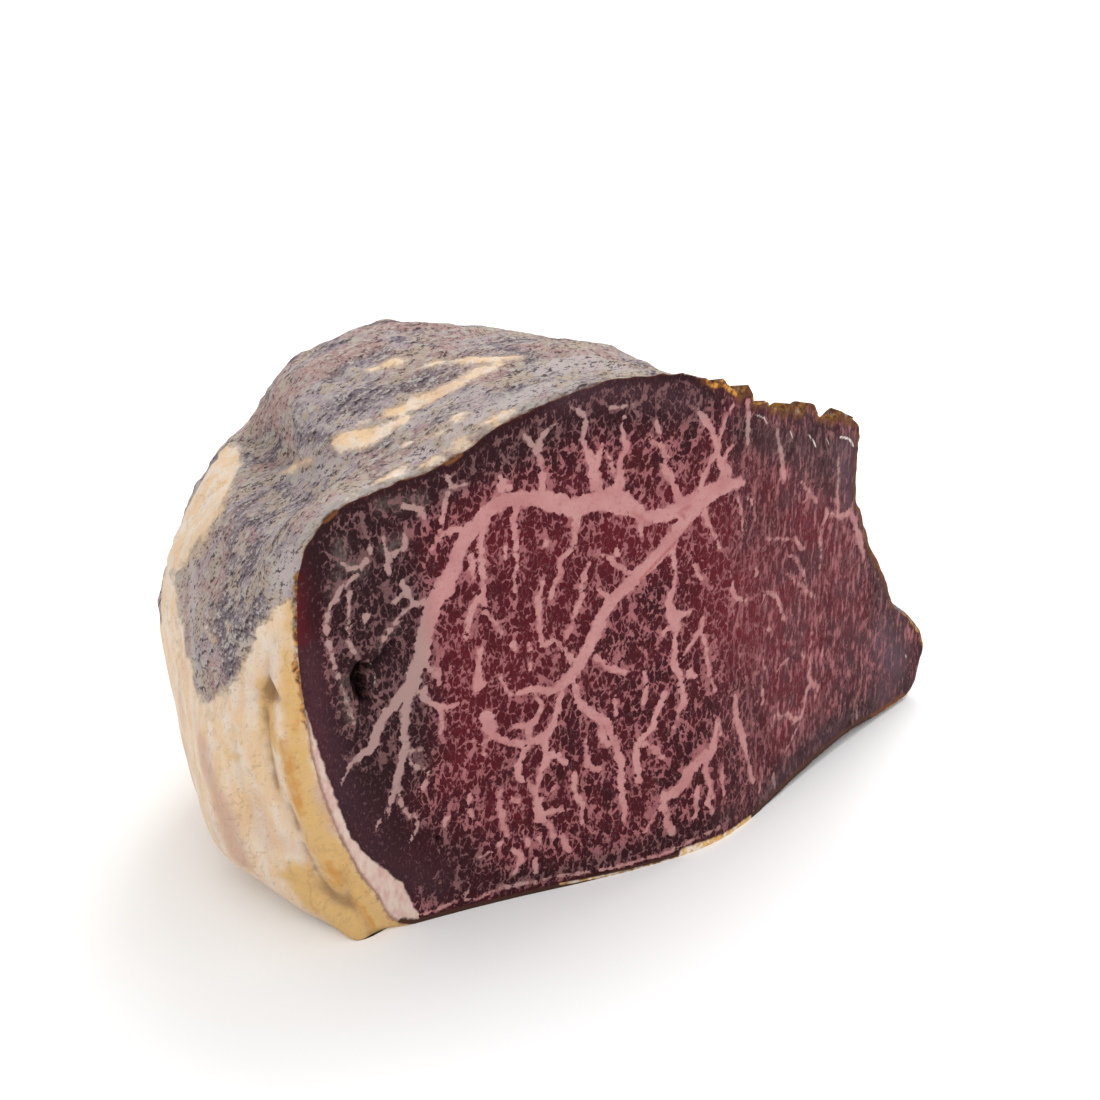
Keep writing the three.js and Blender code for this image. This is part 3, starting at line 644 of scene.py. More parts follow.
# How far noise pushes the edge of a patch: size in millimetres, height in the patch's own measure, detail
FRAYS = {
    "vein": (1.9, 0.8, 5),
    "gap": (0.6, 0.13, 3),
    "cut_fat": (3, 0.5, 4),
    "cut_rim": (1.6, 0.3, 3),
    "drawn": (8, 0.045, 3),
    "fat_edge": (6, 1.5, 4),
    "fat_edge_fine": (1.4, 0.7, 3),
    "mould": (5, 0.3, 4),
    "crumbs": (12, 0.045, 2),
    "rind_rim": (1.8, 0.55, 5),
    "butter": (6, 0.25, 3),
    "pink": (9, 0.2, 3),
    "crease": (3, 0.3, 3),
    "amber": (2.6, 0.3, 4),
}
# Where a measure counts: between its first two numbers, the share goes from the third to the fourth
FADES = {
    "near_vein": (-0.75, 0.5, 1.1, 0),
    "near_twig": (-0.25, 0.35, 0.36, 0),
    "wide": (0.25, 0.8, 0, 1),
    "plain": (-0.75, -0.6, 1, 0),
    "clear_of_rim": (0.2, 1.2, 0, 1),
    "inner": (0.4, 2.5, 0, 1),
    "dense": (0.3, 1.1, 1, 0),
    "gap": (-0.09, 0.11, 0, 1),
    "dry_fat": (0.2, 0.9, 0, 0.9),
    "drawn": (0.5, 0.66, 0, 0.95),
    "band": (-0.35, 0.45, 0, 1),
    "band_inside": (-0.2, 0.4, 0, 1),
    "band_rim": (0.1, 1.1, 0.8, 0),
    "cut_strip": (0.25, 0.75, 0, 1),
    "rind_strip": (0.25, 0.85, 0, 1),
    "fat": (-1.5, 1.1, 1, 0),
    "mould_patch": (0.2, 0.9, 0, 0.85),
    "crumbs": (0.49, 0.56, 0, 0.9),
    "crumb_lit": (0.015, 0.1, 0, 0.85),
    "crumb_shaded": (-0.11, -0.02, 0.88, 0),
    "fat_shaded": (-0.16, -0.02, 0.35, 0),
    "butter": (0.1, 0.9, 0, 0.9),
    "pink": (0.1, 1.0, 0, 0.8),
    "fold_shade": (0.004, 0.03, 1, 0),
    "crease_shade": (0.6, 2.4, 0, 0.4),
    "crease_core_shade": (1.3, 2.3, 0, 0.5),
    "amber": (0.35, 1.1, 0, 0.85),
}
# Patterns of noise: size in millimetres, detail, roughness, the values of the noise between which the
# pattern fades in, and its shares there
PATTERNS = {
    "lean_mottle": (8, 3, 0.5, (0.38, 0.62), (0, 1)),
    "lean_sheen": (1.6, 4, 0.5, (0.3, 0.7), (0.2, 1)),
    "lean_fibre": (0.55, 3, 0.5, (0.35, 0.75), (0, 0.5)),
    "lean_flecks": (0.9, 4, 0.6, (0.54, 0.68), (0, 0.45)),
    "lean_dull": (11, 4, 0.6, (0.44, 0.6), (0, 0.62)),
    "lobe_width": (3.4, 2, 0.5, (0.48, 0.74), (-0.2, 0.24)),
    "island_width": (3.4, 2, 0.5, (0.3, 0.7), (-0.07, 0.19)),
    "seam_pink": (7, 3, 0.5, (0.35, 0.7), (0, 0.6)),
    "seam_threads": (1.1, 4, 0.6, (0.5, 0.75), (0, 0.5)),
    "band_pale": (1.6, 4, 0.5, (0.35, 0.7), (0, 0.6)),
    "edge_pale": (1.6, 4, 0.5, (0.42, 0.6), (0, 1)),
    "edge_shade": (0.8, 4, 0.5, (0.5, 0.75), (0, 0.8)),
    "cut_amber": (1.3, 4, 0.5, (0.4, 0.6), (0, 1)),
    "rind_amber": (1.3, 4, 0.5, (0.42, 0.6), (0, 1)),
    "mould_slate": (15, 5, 0.6, (0.44, 0.57), (0, 1)),
    "mould_rose": (24, 5, 0.6, (0.47, 0.6), (0, 0.8)),
    "mould_pale": (2.4, 5, 0.62, (0.54, 0.63), (0, 0.9)),
    "fat_cream": (4.5, 4, 0.55, (0.36, 0.64), (0, 1)),
    "fat_pink": (19, 3, 0.5, (0.5, 0.7), (0, 0.5)),
    "fat_creased": (12, 2, 0.5, (0.46, 0.62), (0, 0.3)),
}
# Gaps between lobes and between islands of lean, in millimetres, and how their places are warped one after
# the other, as shares of that size and warp
LOBES = {"size": 5.0, "warp": 1.0}
ISLANDS = {"size": 2.0, "warp": 0.55}
GAP_WARPS = [(1.6, 1), (0.4, 0.45)]
# Bare lean has gaps of minus this half width, so none; islands feel only this share of a nearby vein
BARE_GAP = 0.25
ISLANDS_NEAR_VEIN = 0.6
# How strongly each kind of fat shows on the left and in the soft part on the right
FAT_SHARES = {"islands": (0.85, 0.22), "lobes": (0.9, 0.5), "plain": (1.0, 0.75)}
# Noise as size in millimetres, detail and roughness; a stretch multiplies the place along each axis
LEAN_FIBRE_STRETCH = (1, 1, 0.6)
BAND_STRETCH = (1, 1, 0.4)
DRAWN = {"stretch": (1, 1, 0.5), "noise": (1.5, 5, 0.62)}
BEIGE_CRUMBS = {"noise": (7, 7, 0.66), "covered": 0.06}
FAT_FLOW = {"stretch": (1, 1, 0.3), "size": 9, "warp": 1.6}
FAT_FOLD = {"stretch": (1, 1, 0.55), "noise": (5, 4)}
# A strip's own strength before it is broken up, and the share of the dry crust's colour
WHOLE_STRIP = 0.9
CRUST_SHARE = 0.8
# Small relief, its depth in millimetres, and gloss of the two materials
CUT_GRAIN = {"noise": (0.9, 3), "depth": 0.14}
RIND_GRAIN = {"noise": (2.6, 7, 0.76), "depth": 5.0, "on_fat": 0.22}
CUT_GLOSS = {"roughness": 0.5, "specular": 0.04}
RIND_GLOSS = {"roughness": 0.8, "fat_roughness": 0.5, "specular": 0.25}
FLOOR_GLOSS = {"roughness": 0.9, "specular": 0.1}

# Studio: pale floor in metres, even light from all round
FLOOR_SIZE = 40
FLOOR_COLOUR = (0.95, 0.95, 0.95)
WORLD_STRENGTH = 0.93
# Soft lights: place in metres, size in metres and power in watts
LIGHTS = [((0.75, 0.55, 1.25), 1.0, 15), ((-0.9, -1.1, 0.9), 1.6, 5)]


def ramp(low, high, value):
    t = np.clip((value - low) / (high - low), 0, 1)
    return t * t * (3 - 2 * t)


def lerp(start, end, share):
    return start + (end - start) * share


# Value noise from -1 to 1, one cell per size
def corner_values(ix, iy, iz):
    mixed = (ix * HASH_FACTORS[0] + iy * HASH_FACTORS[1] + iz * HASH_FACTORS[2]) & HASH_MASK
    mixed = mixed.astype(np.uint64)
    mixed = ((mixed ^ (mixed >> np.uint64(13))) * np.uint64(HASH_MIX)) & np.uint64(HASH_MASK)
    return (mixed ^ (mixed >> np.uint64(16))).astype(float) / (HASH_MASK + 1)


def noise(points, size):
    scaled = np.asarray(points, float) / size
    cell = np.floor(scaled).astype(np.int64)
    t = scaled - cell
    t = t * t * (3 - 2 * t)
    total = np.zeros(len(scaled))
    for corner in np.ndindex(2, 2, 2):
        weight = np.prod(np.where(np.array(corner), t, 1 - t), axis=1)
        total += weight * corner_values(*(cell + corner).T)
    return total * 2 - 1


def layered_noise(points, layers):
    """Sum of noises, each given by its size and height."""
    return sum(height * noise(points, size) for size, height in layers)


def smooth_curve(p0, p1, p2, p3, t):
    """Points between p1 and p2 on the smooth curve through all four."""
    return 0.5 * (2 * p1 + (p2 - p0) * t + (2 * p0 - 5 * p1 + 4 * p2 - p3) * t ** 2
                  + (3 * p1 - p0 - 3 * p2 + p3) * t ** 3)


# Form: the same rules as the solid
def cut_depth(x, z):
    past = x - RIDGE_X
    turned = math.tan(math.radians(TURN_DEGREES)) * 0.5 * (past + np.hypot(past, RIDGE_SOFTNESS))
    across = (x - TOE_BULGE["x"]) / TOE_BULGE["half_width"]
    up = z / TOE_BULGE["height"]
    return turned - TOE_BULGE["forward"] * np.exp(-across * across - up * up)


def crag_height(x, z):
    heights = [height * np.maximum(0, 1 - np.abs(x - at) / half) for at, height, half in CRAGS]
    on_stretch = (x >= CRAG_STRETCH["from_x"]) & (z >= CRAG_STRETCH["above_z"])
    return np.where(on_stretch, np.max(heights, axis=0), 0)


def on_crags(x, z):
    return ramp(*CRAG_FADE["x"], x) * ramp(*CRAG_FADE["z"], z)


def rim_curve():
    corners = np.array(RIM, float)
    before, after, later = (np.roll(corners, shift, axis=0) for shift in (1, -1, -2))
    t = (np.arange(CURVE_STEPS) / CURVE_STEPS)[None, :, None]
    p0, p1, p2, p3 = (p[:, None, :] for p in (before, corners, after, later))
    return smooth_curve(p0, p1, p2, p3, t).reshape(-1, 2)


def rim_columns(count):
    curve = rim_curve()
    closed = np.vstack([curve, curve[:1]])
    lengths = np.linalg.norm(np.diff(closed, axis=0), axis=1)
    craggy = (curve[:, 0] > CRAG_STRETCH["from_x"]) & (curve[:, 1] > CRAG_STRETCH["above_z"])
    travelled = np.concatenate([[0], np.cumsum(lengths * np.where(craggy, CRAG_DENSITY, 1))])
    wanted = np.arange(count) / count * travelled[-1]
    return np.stack([np.interp(wanted, travelled, closed[:, k]) for k in (0, 1)], 1)


def section_at(depth):
    table = np.array(SECTIONS, float)
    depths = table[:, 0]
    last = len(depths) - 1
    i = int(np.clip(np.searchsorted(depths, depth) - 1, 0, last - 1))

    def slope(k):
        low, high = max(k - 1, 0), min(k + 1, last)
        return (table[high, 1:] - table[low, 1:]) / (depths[high] - depths[low])

    span = depths[i + 1] - depths[i]
    t = (depth - depths[i]) / span
    return ((2 * t ** 3 - 3 * t ** 2 + 1) * table[i, 1:] + (t ** 3 - 2 * t ** 2 + t) * span * slope(i)
            + (3 * t ** 2 - 2 * t ** 3) * table[i + 1, 1:] + (t ** 3 - t ** 2) * span * slope(i + 1))


def body_points(section, cosine, sine, depth):
    left, right, top, bottom, crest_x, waist_z = section
    half_width = np.where(cosine > 0, right - crest_x, crest_x - left)
    half_height = np.where(sine > 0, top - waist_z, waist_z - bottom)
    rightward, leftward, upward, downward = (
        ramp(*CORNER_FADE, way) for way in (cosine, -cosine, sine, -sine))
    power = (SQUARENESS["base"] + SQUARENESS["up_right"] * rightward * upward
             + SQUARENESS["up_left"] * leftward * upward + SQUARENESS["down_left"] * leftward * downward
             + SQUARENESS["down_right"] * rightward * downward)
    reach = (np.abs(cosine / half_width) ** power + np.abs(sine / half_height) ** power) ** (-1 / power)
    x = crest_x + reach * cosine
    along = np.clip((x - crest_x) / (right - crest_x), 0, 1)
    drop = TAPER_DROP * along ** 2 * math.sin((1 - depth / BACK_DEPTH) * math.pi / 2)
    squeeze = np.where(sine < 0, 1 - drop / (waist_z - bottom), 1)
    return x, waist_z - drop + reach * sine * squeeze


def outline_points(section, columns, towards_thin_end):
    left, right, top, bottom, crest_x, waist_z = section
    bottom = lerp(bottom, RIM_BOTTOM, towards_thin_end)
    dx, dz = (columns - CUT_CENTRE).T
    stretch_x = np.where(dx > 0, (right - crest_x) / (RIM_RIGHT - CUT_CENTRE[0]),
                         (crest_x - left) / (CUT_CENTRE[0] - RIM_LEFT))
    stretch_z = np.where(dz > 0, (top - waist_z) / (RIM_TOP - CUT_CENTRE[1]),
                         (waist_z - bottom) / (CUT_CENTRE[1] - RIM_BOTTOM))
    return crest_x + dx * stretch_x, waist_z + dz * stretch_z


def add_lumps(points, depth):
    start = points.copy()
    for at, reach, push in LUMPS:
        away = (((start - at) / reach) ** 2).sum(1)
        points += (ramp(0, LUMP_START, depth) * np.exp(-away))[:, None] * np.array(push)


def add_relief(points, depth):
    outward = points - BODY_HEART
    outward /= np.linalg.norm(outward, axis=1)[:, None]
    height = layered_noise(points, RELIEF) * ramp(0, RELIEF_START, depth)
    points += outward * height[:, None]


def rim_offset(columns):
    """Small breaks of the rim, in the plane of the cut."""
    spoke = columns - CUT_CENTRE
    outward = spoke / np.linalg.norm(spoke, axis=1)[:, None]
    flaky = on_crags(*columns.T)
    places = np.insert(columns, 1, 0, axis=1)
    height = sum(lerp(even, crags, flaky) * noise(places, size) for size, even, crags in RIM_BREAKS)
    x, z = columns.T
    height *= 1 - SMOOTH_RIM["share"] * ramp(*SMOOTH_RIM["x"], x) * ramp(*SMOOTH_RIM["z"], z)
    offset = outward * height[:, None]
    offset[:, 1] *= ramp(0, RIM_BREAK_FLOOR, z)
    return offset


def flank_points(columns, depth):
    section = section_at(depth)
    dx, dz = (columns - CUT_CENTRE).T
    distance = np.hypot(dx, dz)
    body_x, body_z = body_points(section, dx / distance, dz / distance, depth)
    towards_thin_end = ramp(*THIN_END_FADE, dx / distance)
    outline_x, outline_z = outline_points(section, columns, towards_thin_end)
    reach = lerp(RIM_BLEND_DEPTH["left"], RIM_BLEND_DEPTH["right"], towards_thin_end)
    blend = ramp(0, reach, depth)
    start = cut_depth(*columns.T)
    crag = crag_height(*columns.T) * (1 - ramp(0, CRAG_REACH, depth))
    points = np.stack([lerp(outline_x, body_x, blend), lerp(start, BACK_DEPTH, depth / BACK_DEPTH),
                       lerp(outline_z, body_z, blend) + crag], 1)
    add_lumps(points, depth)
    add_relief(points, depth)
    in_trough = ramp(*CRAG_TROUGH["start"], depth) * (1 - ramp(*CRAG_TROUGH["end"], depth))
    points[:, 2] -= CRAG_TROUGH["deep"] * in_trough * on_crags(*columns.T)
    points[:, ::2] += rim_offset(columns) * (1 - ramp(0, RIM_BREAK_REACH, depth))
    points[:, 2] = np.maximum(points[:, 2], 0)
    return points


def cut_points(flat, inner_share):
    wave = CUT_WAVE["height"] * noise(np.insert(flat, 1, 0, axis=1), CUT_WAVE["size"]) * inner_share
    return np.stack([flat[:, 0], cut_depth(*flat.T) + wave, flat[:, 1]], 1)


# Fine mesh: rim, cut inside it, rings of the flank behind it
def ring_depths():
    start = (RIM_DEPTHS[-1] / BACK_DEPTH) ** (1 / RING_POWER)
    first = math.asin(start) / (math.pi / 2)
    shares = np.linspace(first, 1, FLANK_RINGS + 1)[1:-1]
    return RIM_DEPTHS + [BACK_DEPTH * math.sin(share * math.pi / 2) ** RING_POWER for share in shares]


def inside_rim(points, rim):
    inside = np.zeros(len(points), bool)
    for (x0, z0), (x1, z1) in zip(rim, np.roll(rim, -1, axis=0)):
        if z0 == z1:
            continue
        crosses = (z0 > points[:, 1]) != (z1 > points[:, 1])
        inside ^= crosses & (points[:, 0] < x0 + (points[:, 1] - z0) * (x1 - x0) / (z1 - z0))
    return inside


def tree_of(places):
    tree = kdtree.KDTree(len(places))
    for index, place in enumerate(places.tolist()):
        tree.insert(place, index)
    tree.balance()
    return tree


def in_space(points):
    """Flat points get a third number, 0."""
    return np.column_stack([points, np.zeros((len(points), 3 - points.shape[1]))])


def nearest_distance(points, others):
    tree = tree_of(in_space(others))
    found = [tree.find(place) for place in in_space(points).tolist()]
    return np.array([f[2] for f in found]), np.array([f[1] for f in found])


def cut_grid(rim):
    """Points of the cut on an even triangular grid, clear of the rim."""
    turned_step = math.cos(math.radians(TURN_DEGREES))
    rows = []
    row_height = CUT_SPACING * math.sqrt(3) / 2
    for row, z in enumerate(np.arange(rim[:, 1].min(), rim[:, 1].max(), row_height)):
        along = np.arange(RIM_LEFT - RIDGE_X, CUT_REACH, CUT_SPACING) + (row % 2) * CUT_SPACING / 2
        x = RIDGE_X + np.where(along > 0, along * turned_step, along)
        rows.append(np.stack([x, np.full(len(x), z)], 1))
    points = np.vstack(rows)
    points = points[inside_rim(points, rim)]
    middle = (rim + np.roll(rim, -1, axis=0)) / 2
    distance, _ = nearest_distance(points, np.vstack([rim, middle]))
    return points[distance > CUT_MARGIN]


class Joint:
    """The joint's fine mesh while it is being worked out, in millimetres."""

    def __init__(self):
        self.columns = rim_columns(FINE_COLUMNS)
        flat_rim = np.stack([self.columns[:, 0], np.maximum(self.columns[:, 1], 0)
                             + crag_height(*self.columns.T)], 1) + rim_offset(self.columns)
        self.corners = []
        self.uvs = []
        self.build_cut(flat_rim)
        self.build_flank()
        self.corners = np.vstack(self.corners)
        self.uvs = np.vstack(self.uvs)

    def build_cut(self, flat_rim):
        grid = cut_grid(flat_rim)
        flat = np.vstack([flat_rim, grid])
        outline = [list(range(FINE_COLUMNS))]
        found = geometry.delaunay_2d_cdt([Vector(p) for p in flat.tolist()], [], outline, 1, 1e-7, False)
        triangles = np.array([list(face) for face in found[2]])
        a, b, c = (flat[triangles[:, k]] for k in range(3))
        turn = (b[:, 0] - a[:, 0]) * (c[:, 1] - a[:, 1]) - (b[:, 1] - a[:, 1]) * (c[:, 0] - a[:, 0])
        triangles[turn < 0] = triangles[turn < 0][:, ::-1]
        triangles = triangles[inside_rim(flat[triangles].mean(1), flat_rim)]
        rim_y = cut_depth(self.columns[:, 0], self.columns[:, 1])
        rim = np.stack([flat_rim[:, 0], rim_y, flat_rim[:, 1]], 1)
        self.cut_edge, _ = nearest_distance(flat, flat_rim)
        self.points = cut_points(flat, np.clip(self.cut_edge / CUT_WAVE["clear_of_rim"], 0, 1))
        self.points[:FINE_COLUMNS] = rim
        self.cut_count = len(flat)
        self.corners.append(triangles)
        self.uvs.append(self.cut_uv(flat)[triangles].reshape(-1, 6))
        self.cut_triangles = len(triangles)

    def cut_uv(self, flat):
        side = CUT_UV["side_margin"]
        across = (flat[:, 0] - RIM_LEFT + side) / (RIM_RIGHT - RIM_LEFT + 2 * side)
        up = flat[:, 1] / CUT_UV["of"] * CUT_UV["height"] + CUT_UV["bottom"]
        return np.stack([lerp(UV_MARGIN, 1 - UV_MARGIN, across), up], 1)

    def build_flank(self):
        points = [self.points]
        point_depths = [np.zeros(self.cut_count)]
        total = self.cut_count
        previous = (np.arange(FINE_COLUMNS), 0.0)
        for depth in ring_depths():
            fine = depth <= RIM_DEPTHS[-1]
            step = 1 if fine else (2 if depth < THIN_FROM_DEPTH else 4)
            places = flank_points(self.columns[::step], depth)
            points.append(places)
            point_depths.append(np.full(len(places), depth))
            ring = total + np.arange(len(places))
            total += len(places)
            self.join_rings(previous, (ring, depth))
            previous = (ring, depth)
        points.append(np.array([[BACK_X, BACK_DEPTH, BACK_Z]]))
        point_depths.append([float(BACK_DEPTH)])
        self.close_back(previous, total)
        self.points = np.vstack(points)
        self.depth = np.concatenate(point_depths)

    def join_rings(self, front, behind):
        (a, depth_a), (b, depth_b) = front, behind
        half = len(a) // len(b)
        j = np.arange(len(b))
        start, end = a[j * half], a[((j + 1) * half) % len(a)]
        low, high = b, b[(j + 1) % len(b)]
        u0, u1 = j / len(b), (j + 1) / len(b)
        if half == 1:
            self.add(start, low, high, (u0, depth_a), (u0, depth_b), (u1, depth_b))
            self.add(start, high, end, (u0, depth_a), (u1, depth_b), (u1, depth_a))
            return
        middle, um = a[j * half + 1], (u0 + u1) / 2
        self.add(start, low, middle, (u0, depth_a), (u0, depth_b), (um, depth_a))
        self.add(middle, low, high, (um, depth_a), (u0, depth_b), (u1, depth_b))
        self.add(middle, high, end, (um, depth_a), (u1, depth_b), (u1, depth_a))

    def close_back(self, front, index):
        ring, depth = front
        j = np.arange(len(ring))
        u0, u1 = j / len(ring), (j + 1) / len(ring)
        back = np.full(len(ring), index)
        middle = ((u0 + u1) / 2, BACK_DEPTH)
        self.add(back, ring[(j + 1) % len(ring)], ring, middle, (u1, depth), (u0, depth))

    def add(self, a, b, c, *places):
        self.corners.append(np.stack([a, b, c], 1))
        uv = []
        for u, depth in places:
            up = FLANK_UV_HEIGHT * (1 - np.full(len(a), depth) / BACK_DEPTH)
            uv += [lerp(UV_MARGIN, 1 - UV_MARGIN, np.broadcast_to(u, len(a))), UV_MARGIN + up]
        self.uvs.append(np.stack(uv, 1))

    def normals(self):
        a, b, c = (self.points[self.corners[:, k]] for k in range(3))
        face = np.cross(b - a, c - a)
        normals = np.zeros_like(self.points)
        flank = np.arange(len(face)) >= self.cut_triangles
        for k in range(3):
            np.add.at(normals, self.corners[flank, k], face[flank])
        normals[FINE_COLUMNS:self.cut_count] = (0, -1, 0)
        return normals / np.linalg.norm(normals, axis=1)[:, None]


# The photo's camera, in the joint's millimetres
def camera_axes():
    azimuth, elevation = math.radians(CAMERA_AZIMUTH), math.radians(CAMERA_ELEVATION)
    flat = math.cos(elevation)
    forward = np.array([-math.sin(azimuth) * flat, math.cos(azimuth) * flat, -math.sin(elevation)])
    right = np.array([math.cos(azimuth), math.sin(azimuth), 0])
    return right, np.cross(right, forward), forward


RIGHT, UP, FORWARD = camera_axes()
FOCAL = PHOTO_SIZE / 2 / math.tan(math.radians(CAMERA_FIELD) / 2)
PIXELS_PER_MM = FOCAL / ANCHOR_DISTANCE


def pixel_rays(pixels):
    offset = (np.asarray(pixels, float) - PHOTO_SIZE / 2) / FOCAL
    rays = FORWARD + offset[:, :1] * RIGHT - offset[:, 1:2] * UP
    return rays / np.linalg.norm(rays, axis=1)[:, None]


def camera_place():
    ray = pixel_rays([ANCHOR_PIXEL])[0]
    return -ray * (ANCHOR_DISTANCE / (ray @ FORWARD))


def to_pixels(points):
    away = points - camera_place()
    distance = away @ FORWARD
    return np.stack([PHOTO_SIZE / 2 + FOCAL * (away @ RIGHT) / distance,
                     PHOTO_SIZE / 2 - FOCAL * (away @ UP) / distance], 1)


def curve_through(points, step):
    """Points every step or so along a smooth open curve through the given ones."""
    given = np.asarray(points, float)
    ends = np.vstack([2 * given[0] - given[1], given, 2 * given[-1] - given[-2]])
    made = []
    for p0, p1, p2, p3 in zip(ends[:-3], ends[1:-2], ends[2:-1], ends[3:]):
        count = max(1, int(np.ceil(np.linalg.norm((p2 - p1)[:3]) / step)))
        t = (np.arange(count) / count)[:, None]
        made.append(smooth_curve(p0, p1, p2, p3, t))
    return np.vstack(made + [given[-1:]])


def smaller_union(points, lines, reach):
    """Signed distance to thick lines: each line is an array of x, y, z, half width."""
    field = np.full(len(points), float(reach))
    tree = tree_of(points)
    for line in lines:
        for start, end in zip(line[:-1], line[1:]):
            middle = (start + end) / 2
            radius = np.linalg.norm((end - start)[:3]) / 2 + max(start[3], end[3]) + reach
            near = [found[1] for found in tree.find_range(middle[:3].tolist(), radius)]
            if not near:
                continue
            along = (end - start)[:3]
            t = (points[near] - start[:3]) @ along / max(along @ along, 1e-9)
            t = np.clip(t, 0, 1)[:, None]
            away = np.linalg.norm(points[near] - start[:3] - t * along, axis=1)
            half = lerp(start[3], end[3], t[:, 0])
            field[near] = np.minimum(field[near], away - half)
    return field


def away_from_segment(points, start, end):
    along = end - start
    t = np.clip((points - start) @ along / (along @ along), 0, 1)[:, None]
    return points - start - t * along


def outline_distance(pixels, outline):
    """Signed distance in pixels to a closed outline, negative inside."""
    ring = np.asarray(outline, float)
    sides = zip(ring, np.roll(ring, -1, axis=0))
    best = np.min([np.linalg.norm(away_from_segment(pixels, *side), axis=1) for side in sides], axis=0)
    return np.where(inside_rim(pixels, ring), -best, best)


def side_of_line(pixels, line):
    """Distance in pixels to an open line, negative on its right hand."""
    best = np.full(len(pixels), np.inf)
    signed = np.zeros(len(pixels))
    corners = np.array(line, float)
    for start, end in zip(corners[:-1], corners[1:]):
        away = away_from_segment(pixels, start, end)
        distance = np.linalg.norm(away, axis=1)
        side = np.sign((end - start)[0] * away[:, 1] - (end - start)[1] * away[:, 0])
        closer = distance < best
        best = np.where(closer, distance, best)
        signed = np.where(closer, side * distance, signed)
    return signed


class Placer:
    """Puts pixels of the photo on the joint's surface."""

    def __init__(self, joint):
        self.joint = joint
        self.surface = BVHTree.FromPolygons(joint.points.tolist(), joint.corners.tolist())
        self.eye = camera_place()
        self.rim_pixels = to_pixels(joint.points[:FINE_COLUMNS])

    def place(self, pixels):
        places = []
        for ray in pixel_rays(pixels):
            hit = self.surface.ray_cast(Vector(self.eye), Vector(ray))[0]
            places.append(hit[:] if hit else (np.nan,) * 3)
        places = np.array(places)
        missed = np.isnan(places[:, 0])
        if missed.any():
            places[missed] = self.joint.points[self.rim_columns_at(np.asarray(pixels, float)[missed])]
        return places

    def rim_columns_at(self, pixels):
        away = np.asarray(pixels, float)[:, None] - self.rim_pixels[None]
        return np.argmin((away ** 2).sum(2), axis=1)

    def rim_line(self, pixels, half):
        """The stretch of rim past these pixels, the short way round, as x, y, z, half width."""
        stops = self.rim_columns_at(pixels)
        picked = [stops[:1]]
        for start, end in zip(stops[:-1], stops[1:]):
            way = (end - start + FINE_COLUMNS // 2) % FINE_COLUMNS - FINE_COLUMNS // 2
            picked.append((start + np.arange(0, way, 3 if way > 0 else -3)) % FINE_COLUMNS)
        picked.append(stops[-1:])
        places = self.joint.points[np.concatenate(picked)]
        return np.column_stack([places, np.full(len(places), half)])

    def thick_line(self, line, step=VEIN_STEP):
        """A line of pixel x, pixel y, half width, laid on the surface as x, y, z, half width."""
        given = np.array(line, float)
        places = np.column_stack([self.place(given[:, :2]), given[:, 2]])
        return curve_through(places, step)


def soft_zones(points, placer, zones, on_rim=False):
    strength = np.zeros(len(points))
    for pixels, half, softness, most in zones:
        if on_rim:
            line = placer.rim_line(pixels, half)
        else:
            line = placer.thick_line([(x, y, half) for x, y in pixels], ZONE_STEP)
        field = smaller_union(points, [line], softness)
        strength = np.maximum(strength, most * (1 - ramp(-softness, softness, field)))
    return strength


# Twigs that grow from the veins towards scattered targets until none is left far from fat
def grow_twigs(seeds, targets):
    rng = np.random.default_rng(TWIG_SEED)
    stretch = np.array([1, 1, TWIG_UPRIGHT])
    nodes = [seeds * stretch]
    parents = [np.full(len(seeds), -1)]
    alive = targets * stretch
    for _ in range(TWIG_ROUNDS):
        known = np.vstack(nodes)
        distance, nearest = nearest_distance(alive, known)
        growing = (distance > TWIG_KILL) & (distance < TWIG_REACH)
        alive = alive[distance > TWIG_KILL]
        if not growing.any():
            break
        wanted = np.zeros_like(known)
        pulling = alive[growing[distance > TWIG_KILL]]
        from_node = nearest[growing]
        towards = pulling - known[from_node]
        np.add.at(wanted, from_node, towards / np.linalg.norm(towards, axis=1)[:, None])
        tips = np.unique(from_node)
        heading = wanted[tips] + rng.normal(0, TWIG_JITTER, (len(tips), 3)) * TWIG_JITTER_SHARES
        heading /= np.linalg.norm(heading, axis=1)[:, None]
        nodes.append(known[tips] + heading * TWIG_STEP)
        parents.append(tips)
    return np.vstack(nodes) / stretch, np.concatenate(parents)


def twig_lines(nodes, parents):
    """Each twig node with its parent, thicker where more grows from it."""
    growth = np.zeros(len(nodes))
    for index in range(len(nodes) - 1, -1, -1):
        if parents[index] >= 0:
            growth[parents[index]] += growth[index] + 1
    half = TWIG_HALF_WIDTH["tip"] + TWIG_HALF_WIDTH["growth"] * np.sqrt(growth)
    half = np.minimum(half, TWIG_HALF_WIDTH["most"])
    half *= 1 + TWIG_HALF_WIDTH["unevenness"] * noise(nodes, TWIG_HALF_WIDTH["size"])
    thick = np.column_stack([nodes, half])
    return [np.stack([thick[parents[i]], thick[i]]) for i in range(len(nodes)) if parents[i] >= 0]


def scatter_targets(joint, bare):
    """Places of the cut for twigs to grow to, fewer where the lean is bare."""
    places = joint.points[:joint.cut_count]
    wanted = (1 - BARE_SHARE * bare) / (TWIG_SPACING / CUT_SPACING) ** 2
    drawn = np.random.default_rng(TWIG_SEED).random(len(places))
    return places[(joint.cut_edge > TWIG_CLEARANCE) & (drawn < wanted)]


